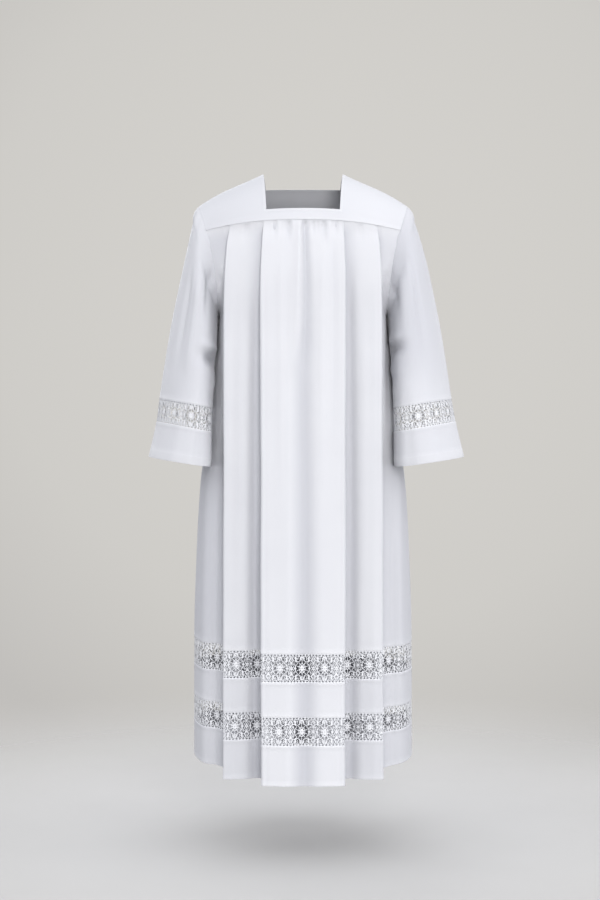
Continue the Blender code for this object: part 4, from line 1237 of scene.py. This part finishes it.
def shell(name, p, n, extra, outward, closed, replaces, painted_shade=0.0):
    """A cloth piece from its middle surface p, normals n, and what its outer side gains."""
    rows, columns = p.shape[:2]
    extra = np.broadcast_to(extra, (rows, columns))
    ply = np.clip(extra / EDGE_EXTRA, 0, 1)
    painted_shade = np.broadcast_to(painted_shade, (rows, columns))
    faces = grid_faces(rows, columns, outward, closed)
    verts, polygons, source = thicken(
        p.reshape(-1, 3), n.reshape(-1, 3), faces, (CLOTH_OUT + extra).reshape(-1), CLOTH_IN
    )
    along, down = lengths(p, 1), lengths(p, 0)
    along = along - along[:, columns // 2 : columns // 2 + 1]
    uv = np.stack((along.reshape(-1), -down.reshape(-1)), axis=1)[source]
    mesh = make_mesh(name, verts, polygons, uv, {"ply": ply.reshape(-1)[source], "painted_shade": painted_shade.reshape(-1)[source]})
    return new_piece(name, mesh, CLOTH, replaces)


def stitch_mesh(name, lines, pitch=0.0026, length=0.0019, width=0.00022, height=0.00020):
    """Small stitches along lines, joined in one mesh. Each line is (points, normals)."""
    points, polygons = [], []
    base = 0
    for line, normal in lines:
        run = np.concatenate(([0.0], np.cumsum(np.linalg.norm(np.diff(line, axis=0), axis=1))))
        count = int(run[-1] / pitch)
        if count < 1:
            continue
        step = run[-1] / count
        start = (np.arange(count) + 0.5) * step
        place = lambda s: np.stack([np.interp(s, run, line[:, k]) for k in range(3)], axis=1)
        a, b, m = place(start - length / 2), place(start + length / 2), place(start)
        n = np.stack([np.interp(start, run, normal[:, k]) for k in range(3)], axis=1)
        n /= np.linalg.norm(n, axis=1, keepdims=True)
        side = np.cross(b - a, n)
        side /= np.linalg.norm(side, axis=1, keepdims=True)
        deep = n * 0.00008
        six = np.stack((a - deep, b - deep, m + side * width, m - side * width, m + n * height, m - n * 0.00012), axis=1)
        points.append(six.reshape(-1, 3))
        first = base + np.arange(count)[:, None, None] * 6
        shape = np.array(((0, 2, 4), (2, 1, 4), (1, 3, 4), (3, 0, 4), (2, 0, 5), (1, 2, 5), (3, 1, 5), (0, 3, 5)))
        polygons.append((first + shape[None]).reshape(-1, 3))
        base += count * 6
    mesh = make_mesh(name, np.concatenate(points), [np.concatenate(polygons)])
    return new_piece(name, mesh, THREAD)


def row_line(p, n, out, down, distance, closed=False):
    """The line at a distance down from the first row, on the outer side. down is the running length."""
    level = np.array([np.interp(distance, down[:, c], np.arange(len(down))) for c in range(p.shape[1])])
    column = np.arange(p.shape[1], dtype=float)
    point = on_grid(p, column, level)
    normal = on_grid(n, column, level)
    above = on_grid(np.broadcast_to(out, p.shape[:2])[..., None], column, level)
    line = point + normal * above
    if closed:
        line, normal = np.concatenate((line, line[:1])), np.concatenate((normal, normal[:1]))
    return line, normal


def column_line(p, n, out, distance, last):
    """The line at a distance in from the first or last column, on the outer side."""
    along = lengths(p, 1)
    if last:
        along = along[:, -1:] - along
    rows, columns = p.shape[:2]
    order = np.arange(columns)
    if last:
        place = np.array([np.interp(distance, along[r, ::-1], order[::-1]) for r in range(rows)])
    else:
        place = np.array([np.interp(distance, along[r], order) for r in range(rows)])
    row = np.arange(rows, dtype=float)
    point, normal = on_grid(p, place, row), on_grid(n, place, row)
    above = on_grid(np.broadcast_to(out, p.shape[:2])[..., None], place, row)
    return point + normal * above, normal


def seam_layers():
    """How many layers of cloth lie over each column where the pleats are sewn flat at the yoke."""
    layer = np.zeros(len(FULL_STRETCH))
    for index, (first, last) in {1: (0, -1), 2: (-1, -1), 3: (-1, -2), 5: (0, -1), 6: (-1, -1), 7: (-1, -2)}.items():
        here = FULL_STRETCH == index
        layer[here] = lerp(first, last, FULL_SHARE[here])
    for index, start in ((4, 0.27), (8, 0.29)):
        here = FULL_STRETCH == index
        layer[here] = -2 * (1 - smooth(start, start + 0.17, FULL_SHARE[here]))
    return layer


def yoke_line_y(front, x):
    """How far forward the yoke lies along its lower seam."""
    seam_y = YOKE_SIDE_FRONT_Y if front else YOKE_SIDE_BACK_Y
    end = armhole_end(ARMHOLE_YOKE_ANGLE, front)
    corner = NECK_HALF_FRONT - 0.001
    across = np.clip((np.abs(x) - corner) / (end[0] - corner), 0, 1)
    band = seam_y + (-0.0020 if front else 0.0020) * (1 - np.clip(np.abs(x) / corner, 0, 1) ** 2)
    return np.where(np.abs(x) < corner, band, lerp(seam_y, end[1], across**1.8))


def sewn_flat(front, p, seam_row):
    """Near the yoke the pleats lie flat on each other and on the yoke's line."""
    depth = p[seam_row : seam_row + 1, :, 2] - p[..., 2]
    share = (1 - smooth(0.0, 0.040, depth))[..., None]
    layer = seam_layers() * 0.0009 * (1 if front else -1)
    target = p.copy()
    target[..., 1] = yoke_line_y(front, p[..., 0]) - layer
    return lerp(p, target, share), depth


def panel(front):
    word = "front" if front else "back"
    t = np.concatenate(((-0.016, -0.008, 0.0, 0.008, 0.018), np.linspace(0.032, 1.0, 27)))
    angle = np.radians(57.5 + 122.5 * t)
    bottom = LINES["upper_lace_top"][0] + SEAM / 2
    top = LINES["underarm"][0] - 0.006
    z_low = top - edge_distances(top - bottom, starts=(0.0,), ends=(0.0,))
    # the first places of edge_distances suit an edge; the body goes on here, so they are left out
    z_low = np.delete(z_low, (1, 2, 3))
    p = body_surface(front, "panel", (angle, z_low))
    p, depth = sewn_flat(front, p, 2)
    n = body_normals(front, p)
    relief = body_relief(front, p) * smooth(0.0, 0.010, depth)
    p = p + n * relief[..., None]
    n = body_normals(front, p)
    painted_shade = body_painted_shade(front, p, relief) * smooth(-0.002, 0.030, depth)
    from_bottom = np.concatenate((np.full(len(t), 1.0), z_low - bottom))
    extra = edge_extra(from_bottom)[:, None]
    item = shell("panel_" + word + "_cloth", p, n, extra, -1 if front else 1, False, ("panel_" + word,), painted_shade)
    out = CLOTH_OUT + np.broadcast_to(extra, p.shape[:2])
    down = lengths(p[::-1], 0)
    lines = [row_line(p[::-1], n[::-1], out[::-1], down, 0.0013)]
    top = len(t)
    for last in (False, True):
        line, normal = column_line(p[2:top], n[2:top], out[2:top], 0.0032, last)
        lines.append((line, normal))
    return item, p, lines


def strip(front, name, top, bottom, last, replaces):
    """A cloth strip of the skirt with its edges turned, between two lines."""
    height = LINES[top][0] - LINES[bottom][0]
    distance = edge_distances(height, step=0.0075)
    share = distance / height
    share[0], share[-1] = SEAM / 2 / height, 1 - (0 if last else SEAM / 2 / height)
    p = body_surface(front, (top, bottom), share)
    relief = body_relief(front, p)
    p, n = relieved(front, p)
    extra = np.maximum(edge_extra(distance), edge_extra(height - distance))[:, None]
    item = shell(name, p, n, extra, -1 if front else 1, False, replaces, body_painted_shade(front, p, relief))
    out = CLOTH_OUT + np.broadcast_to(extra, p.shape[:2])
    down = lengths(p, 0)
    lines = [row_line(p, n, out, down, 0.0013)]
    back = lengths(p[::-1], 0)
    lines.append(row_line(p[::-1], n[::-1], out[::-1], back, 0.0040 if last else 0.0013))
    return item, p, lines


LACE_TUCK = 0.0016  # how far the lace goes behind the cloth's turned edges


def lace_strip_piece(front, name, top, bottom, tile, replaces):
    height = LINES[top][0] - LINES[bottom][0]
    share = np.linspace(-LACE_TUCK / height, 1 + LACE_TUCK / height, 11)
    p = body_surface(front, (top, bottom), share)
    p, n = relieved(front, p)
    middle = p[len(p) // 2]
    run = float(np.linalg.norm(np.diff(middle, axis=0), axis=1).sum())
    count = 2 * int(round((run / (TILE_L / 1000) - 1) / 2)) + 1  # odd: a medallion in the garment's middle
    item, width, tall = lace_piece(name, tile, p, n, count, False, LACE, replaces, front)
    return item, p, count


def yoke(front):
    """Half the square yoke: the two shoulder parts and the band under the neck, with the neck's narrow
    turned edge and a lower edge that is stitched down over the panel."""
    word = "front" if front else "back"
    cut = neck_share(front)
    side = yoke_point(front, np.zeros(2001), np.linspace(0, 1.03, 2001))
    run = np.concatenate(([0.0], np.cumsum(np.linalg.norm(np.diff(side, axis=0), axis=1))))
    at_cut = float(np.interp(cut, np.linspace(0, 1.03, 2001), run))
    at_seam = float(np.interp(1.0, np.linspace(0, 1.03, 2001), run))
    close = (0.0007, EDGE - 0.0003, EDGE + 0.0004)
    places = list(np.linspace(0, at_cut, 26))[:-1] + [at_cut] + [at_cut + d for d in close]
    lower = [at_seam - 0.0062, at_seam - 0.0050, at_seam - 0.0025, at_seam - 0.0006, at_seam + 0.0004, at_seam + 0.0011]
    count = max(2, int((lower[0] - places[-1]) / 0.005))
    places += list(np.linspace(places[-1], lower[0], count + 1))[1:-1] + lower
    downs = np.interp(places, run, np.linspace(0, 1.03, 2001))
    reach = 0.135
    across = np.array([0.0] + [d / reach for d in close] + list(np.linspace((EDGE + 0.0004) / reach, 1.0, 22))[1:])
    band = np.linspace(0, 1, 33)[1:-1]
    grid_down, grid_across = np.meshgrid(downs, across, indexing="ij")
    left = yoke_point(front, grid_across, grid_down)
    left[0, :, 1] += -0.00015 if front else 0.00015
    rows, columns = left.shape[:2]
    points, index = [], {}

    def add(key, point, neck, low):
        index[key] = len(points)
        points.append((*point, neck, low))

    seam_end = armhole_end(ARMHOLE_YOKE_ANGLE, front)
    seam_z = YOKE_SEAM_FRONT if front else YOKE_SEAM_BACK
    for r, place in enumerate(places):
        below = max(0.0, place - at_cut)
        low = at_seam + 0.0011 - place
        for c, a in enumerate(across):
            p = left[r, c]
            neck = max(a * reach, below)
            add((r, c, 1), p, neck, low)
            add((r, c, -1), p * (-1, 1, 1), neck, low)
        if place >= at_cut - 1e-9:
            edge = left[r, 0]
            for c, b in enumerate(band):
                s = 1 - 2 * b
                level = (seam_share(edge[0], seam_end[0]) - seam_share(s * edge[0], seam_end[0])) * (seam_z - seam_end[2])
                forward = (-0.0020 if front else 0.0020) * (1 - s * s)
                add((r, c, 0), (s * edge[0], edge[1] + forward, edge[2] + level), below, low)
    faces = []
    for r in range(rows - 1):
        for c in range(columns - 1):
            for mirrored in (1, -1):
                quad = [index[(r, c, mirrored)], index[(r, c + 1, mirrored)], index[(r + 1, c + 1, mirrored)], index[(r + 1, c, mirrored)]]
                faces.append(quad if mirrored == -1 else quad[::-1])
        if places[r] >= at_cut - 1e-9:
            keys = [(0, 1)] + [(c, 0) for c in range(len(band))] + [(0, -1)]
            for a, b in zip(keys[:-1], keys[1:]):
                faces.append([index[(r, *a)], index[(r, *b)], index[(r + 1, *b)], index[(r + 1, *a)]])
    faces = np.array(faces)
    if not front:
        faces = faces[:, ::-1]
    points = np.array(points)
    p, neck, low = points[:, :3], points[:, 3], points[:, 4]
    n = vertex_normals(p, faces)
    lift = 0.00100 * (1 - smooth(0.0065, 0.0135, low))
    extra = edge_extra(neck) + 0.00030 * (1 - smooth(0.0052, 0.0058, low)) * smooth(-0.0002, 0.0006, low)
    verts, polygons, source = thicken(p, n, faces, CLOTH_OUT + extra + lift, CLOTH_IN - lift)
    uv = np.stack((p[:, 0], p[:, 2] - np.abs(p[:, 1])), axis=1)[source]
    # painted shade in the yoke's colour: greyer towards x below 0, a little less at the middle
    mesh = make_mesh("yoke_" + word + "_cloth", verts, polygons, uv, {"ply": np.clip(extra / EDGE_EXTRA, 0, 1)[source], "painted_shade": (0.22 - 0.12 * np.clip(p[:, 0] / 0.16, -1, 1) - 0.08 * np.exp(-((p[:, 0] / 0.06) ** 2)))[source]})
    item = new_piece("yoke_" + word + "_cloth", mesh, CLOTH, ("yoke_" + word,))

    # stitches along the neck's edge and along the lower seam
    outer = p + n * (CLOTH_OUT + extra + lift)[:, None]

    def through(keys):
        ids = [index[k] for k in keys]
        return outer[ids], n[ids]

    neck_column = 2  # the close column nearest the turned edge's width
    cut_row = int(np.argmin(np.abs(np.array(places) - (at_cut + close[1]))))
    lines = []
    for mirrored in (1, -1):
        lines.append(through([(r, neck_column, mirrored) for r in range(cut_row + 1)]))
    lines.append(through([(cut_row, neck_column, 1), (cut_row, 1, 1), (cut_row, 0, 1)] + [(cut_row, c, 0) for c in range(len(band))] + [(cut_row, 0, -1), (cut_row, 1, -1), (cut_row, neck_column, -1)]))
    seam_row = rows - 4
    keys = [(seam_row, c, 1) for c in range(columns - 1, -1, -1)] + [(seam_row, c, 0) for c in range(len(band))] + [(seam_row, c, -1) for c in range(columns)]
    lines.append(through(keys))
    for mirrored in (1, -1):
        edge_columns = [through([(r, columns - 2, mirrored) for r in range(rows)]), through([(r, columns - 1, mirrored) for r in range(rows)])]
        (inner, inner_n), (outer_edge, _) = edge_columns
        width = np.linalg.norm(outer_edge - inner, axis=1, keepdims=True)
        lines.append((outer_edge + (inner - outer_edge) * (0.0032 / width), inner_n))
    return item, lines


def sleeve_run(k0, left):
    """Metres of sleeve for each step of its table, round the ring, near a place of the table."""
    p = sleeve_rows(np.array((k0 - 0.05, k0 + 0.05)), left)
    return np.linalg.norm(p[1] - p[0], axis=1) / 0.1


def sleeve(left, tile):
    word = "L" if left else "R"
    sign = 1 if left else -1
    at7, at8, at9 = sleeve_run(6.95, left), sleeve_run(8.0, left), sleeve_run(8.9, left)
    # the sleeve proper, from just under the armhole's edge to the lace
    edge = np.array((EDGE + 0.0004, EDGE - 0.0003, 0.0007, 0.0))
    head = np.array((0.0, 0.02, 0.06, 0.12, 0.20, 0.30, 0.42, 0.56, 0.70, 0.85, 1.0))
    low = 7.0 - edge[:1, None] / at7[None, :]
    share = np.linspace(0, 1, 42)[1:-1, None]
    k = np.concatenate((np.repeat(head[:, None], RING, 1), 1.0 + (low - 1.0) * share, 7.0 - edge[:, None] / at7[None, :]))
    k[-1] -= SEAM / 2 / at7
    p, n, painted_shade = sleeve_relieved(k, left)
    tuck = np.exp(-((k[:, :1] / 0.03) ** 2))[..., None]
    p = p - n * 0.0011 * tuck - np.array((sign * 0.0016, 0.0, 0.0)) * tuck
    n = normals_of(p, sign, closed=True)
    from_end = np.concatenate((np.ones(len(head) + len(share)), edge))
    extra = edge_extra(from_end)[:, None]
    pieces = {}
    pieces["sleeve"] = (shell("sleeve_" + word + "_cloth", p, n, extra, sign, True, ("sleeve_" + word,), painted_shade), p)
    lines = []
    out = CLOTH_OUT + np.broadcast_to(extra, p.shape[:2])
    lines.append(row_line(p[::-1], n[::-1], out[::-1], lengths(p[::-1], 0), 0.0013, True))
    # lace
    k = 7.0 + np.linspace(0, 1, 9)[:, None] * np.ones(RING)
    k[0] -= LACE_TUCK / at7
    k[-1] += LACE_TUCK / at8
    k[1:-1] = k[0] + (k[-1] - k[0]) * np.linspace(0, 1, 9)[1:-1, None]
    p, n, painted_shade = sleeve_relieved(k, left)
    middle = p[4]
    run = float(np.linalg.norm(np.roll(middle, -1, 0) - middle, axis=1).sum())
    count = int(round(run / (TILE_L / 1000)))
    item, _, _ = lace_piece("sleeve_lace_" + word + "_pierced", tile, p, n, count, True, LACE, ("sleeve_lace_" + word,), not left)
    pieces["lace"] = (item, p, count)
    # cuff, with a deep hem
    hem = 0.0190
    top = np.array((0.0, 0.0007, EDGE - 0.0003, EDGE + 0.0004))
    bottom = np.array((hem + 0.0004, hem - 0.0003, 0.0125, 0.0060, 0.0007, 0.0))
    k_top = 8.0 + top[:, None] / at8[None, :]
    k_bottom = 9.0 - bottom[:, None] / at9[None, :]
    share = np.linspace(0, 1, 8)[1:-1, None]
    k = np.concatenate((k_top, k_top[-1:] + (k_bottom[:1] - k_top[-1:]) * share, k_bottom))
    k[0] += SEAM / 2 / at8
    p, n, painted_shade = sleeve_relieved(k, left)
    extra = np.concatenate((edge_extra(top), np.zeros(len(share)), edge_extra(bottom, width=hem)))[:, None]
    pieces["cuff"] = (shell("cuff_" + word + "_cloth", p, n, extra, sign, True, ("cuff_" + word,), painted_shade), p)
    out = CLOTH_OUT + np.broadcast_to(extra, p.shape[:2])
    lines.append(row_line(p, n, out, lengths(p, 0), 0.0013, True))
    lines.append(row_line(p[::-1], n[::-1], out[::-1], lengths(p[::-1], 0), hem - 0.0015, True))
    return pieces, lines


tile = lace_tile()
for front in (True, False):
    word = "front" if front else "back"
    item, p, lines = panel(front)
    for kind, top, bottom, last in (("band", "upper_lace_bottom", "lower_lace_top", False), ("hem", "lower_lace_bottom", "hem", True)):
        item, p, more = strip(front, kind + "_" + word + "_cloth", top, bottom, last, (kind + "_" + word,))
        lines += more
    for kind, top, bottom in (("lace_upper", "upper_lace_top", "upper_lace_bottom"), ("lace_lower", "lower_lace_top", "lower_lace_bottom")):
        item, p, count = lace_strip_piece(front, kind + "_" + word + "_pierced", top, bottom, tile, (kind + "_" + word,))
    item, more = yoke(front)
    stitch_mesh("stitching_" + word, lines + more)
for left in (True, False):
    word = "L" if left else "R"
    pieces, lines = sleeve(left, tile)
    stitch_mesh("stitching_sleeve_" + word, lines)


# ---------------------------------------------------------------- room, light and camera
def aimed(item, target):
    direction = Vector(target) - item.location
    item.rotation_euler = direction.to_track_quat("-Z", "Y").to_euler()


def soft_light(name, place, target, size, power, colour):
    data = bpy.data.lights.new(name, "AREA")
    data.shape = "RECTANGLE"
    data.size, data.size_y = size
    data.energy = power
    data.color = colour
    item = bpy.data.objects.new(name, data)
    bpy.context.scene.collection.objects.link(item)
    item.location = place
    aimed(item, target)
    item.visible_camera = False
    return item


FLOOR_Z = -1.46


def floor():
    """A pale floor that fades into the background with the distance."""
    mesh = bpy.data.meshes.new("floor")
    rings = [0.0, 0.3, 0.6, 0.9, 1.2, 1.6, 2.0, 2.4]
    points, faces = [(0.0, 0.0, FLOOR_Z)], []
    for r in rings[1:]:
        points += [(r * math.cos(a), r * math.sin(a), FLOOR_Z) for a in (2 * math.pi * k / 64 for k in range(64))]
    for k in range(64):
        faces.append((0, 1 + k, 1 + (k + 1) % 64))
        for ring in range(len(rings) - 2):
            a, b = 1 + ring * 64 + k, 1 + ring * 64 + (k + 1) % 64
            faces.append((a, a + 64, b + 64, b))
    mesh.from_pydata(points, [], faces)
    material, tree, shader = new_material("floor")
    place = add_node(tree, "ShaderNodeTexCoord")
    grain = add_node(tree, "ShaderNodeTexNoise", {"Vector": place.outputs["Object"], "Scale": 3.0, "Detail": 2.0})
    tree.links.new(ramp(tree, grain.outputs["Fac"], ((0.3, (0.635, 0.630, 0.620)), (0.7, (0.650, 0.645, 0.635)))), shader.inputs["Base Color"])
    shader.inputs["Roughness"].default_value = 0.9
    shader.inputs["Specular IOR Level"].default_value = 0.0
    reach = add_node(tree, "ShaderNodeVectorMath", {0: place.outputs["Object"]}, operation="MULTIPLY")
    reach.inputs[1].default_value = (1.0, 1.0, 0.0)
    far = add_node(tree, "ShaderNodeVectorMath", {0: reach.outputs["Vector"]}, operation="LENGTH")
    fade = add_node(tree, "ShaderNodeMapRange", {"Value": far.outputs["Value"], "From Min": 0.25, "From Max": 1.9, "To Min": 0.0, "To Max": 1.0}, interpolation_type="SMOOTHSTEP")
    clear = add_node(tree, "ShaderNodeBsdfTransparent")
    mix = add_node(tree, "ShaderNodeMixShader", {0: fade.outputs["Result"], 1: shader.outputs["BSDF"], 2: clear.outputs["BSDF"]})
    tree.links.new(mix.outputs["Shader"], tree.nodes["Material Output"].inputs["Surface"])
    mesh.materials.append(material)
    item = bpy.data.objects.new("floor", mesh)
    bpy.context.scene.collection.objects.link(item)
    item.visible_diffuse = False
    return item


def world():
    """A pale grey backdrop that falls off gently from a place above the middle, and a dim light from
    all round, weakest from below."""
    item = bpy.data.worlds.new("studio")
    bpy.context.scene.world = item
    item.use_nodes = True
    tree = item.node_tree
    place = add_node(tree, "ShaderNodeTexCoord")
    # away from the middle of the backdrop: cosine of the angle to a fixed direction
    toward = Vector((0.02, 1.0, 0.03)).normalized()
    near = add_node(tree, "ShaderNodeVectorMath", {0: place.outputs["Generated"]}, operation="DOT_PRODUCT")
    near.inputs[1].default_value = toward
    fall = add_node(tree, "ShaderNodeMapRange", {"Value": near.outputs["Value"], "From Min": 0.965, "From Max": 1.0})
    tone = ramp(tree, fall.outputs["Result"], ((0.0, (0.625, 0.613, 0.597)), (0.55, (0.700, 0.688, 0.665)), (1.0, (0.725, 0.712, 0.688))))
    seen = tree.nodes["Background"]
    tree.links.new(tone, seen.inputs["Color"])
    seen.inputs["Strength"].default_value = 1.0
    split = add_node(tree, "ShaderNodeSeparateXYZ", {"Vector": place.outputs["Generated"]})
    up = add_node(tree, "ShaderNodeMapRange", {"Value": split.outputs["Z"], "From Min": -0.6, "From Max": 0.6})
    sky = ramp(tree, up.outputs["Result"], ((0.0, (0.10, 0.10, 0.11)), (0.75, (0.95, 0.96, 0.99)), (1.0, (0.82, 0.83, 0.86))))
    light = add_node(tree, "ShaderNodeBackground", {"Color": sky, "Strength": 1.12})
    path = add_node(tree, "ShaderNodeLightPath")
    mix = add_node(tree, "ShaderNodeMixShader", {0: path.outputs["Is Camera Ray"], 1: light.outputs["Background"], 2: seen.outputs["Background"]})
    tree.links.new(mix.outputs["Shader"], tree.nodes["World Output"].inputs["Surface"])


scene = bpy.context.scene
camera_data = bpy.data.cameras.new("camera")
camera_data.lens = 78.3
camera_data.sensor_width = 36.0
camera = bpy.data.objects.new("camera", camera_data)
scene.collection.objects.link(camera)
camera.location = (-0.0066, -4.3, -0.35)
camera.rotation_euler = (math.radians(90.0 - 3.327), 0.0, 0.0)
scene.camera = camera

world()
floor()
soft_light("key", (0.55, -4.51, 0.05), (0.0, 0.0, -0.65), (1.4, 2.2), 94.0, (1.0, 0.99, 0.985))
soft_light("left", (-3.37, -0.3, -0.3), (0.0, 0.0, -0.65), (2.2, 2.6), 13.0, (0.99, 0.985, 1.0))
soft_light("right", (3.37, -0.3, -0.3), (0.0, 0.0, -0.65), (2.2, 2.6), 22.0, (0.98, 0.975, 1.0))
soft_light("back", (-1.0, 3.8, 0.8), (0.0, 0.0, -0.6), (2.8, 2.4), 50.0, (0.98, 0.985, 1.0))
scene.view_settings.view_transform = "Standard"
scene.view_settings.look = "None"
scene.view_settings.exposure = 0.0
scene.view_settings.gamma = 0.75
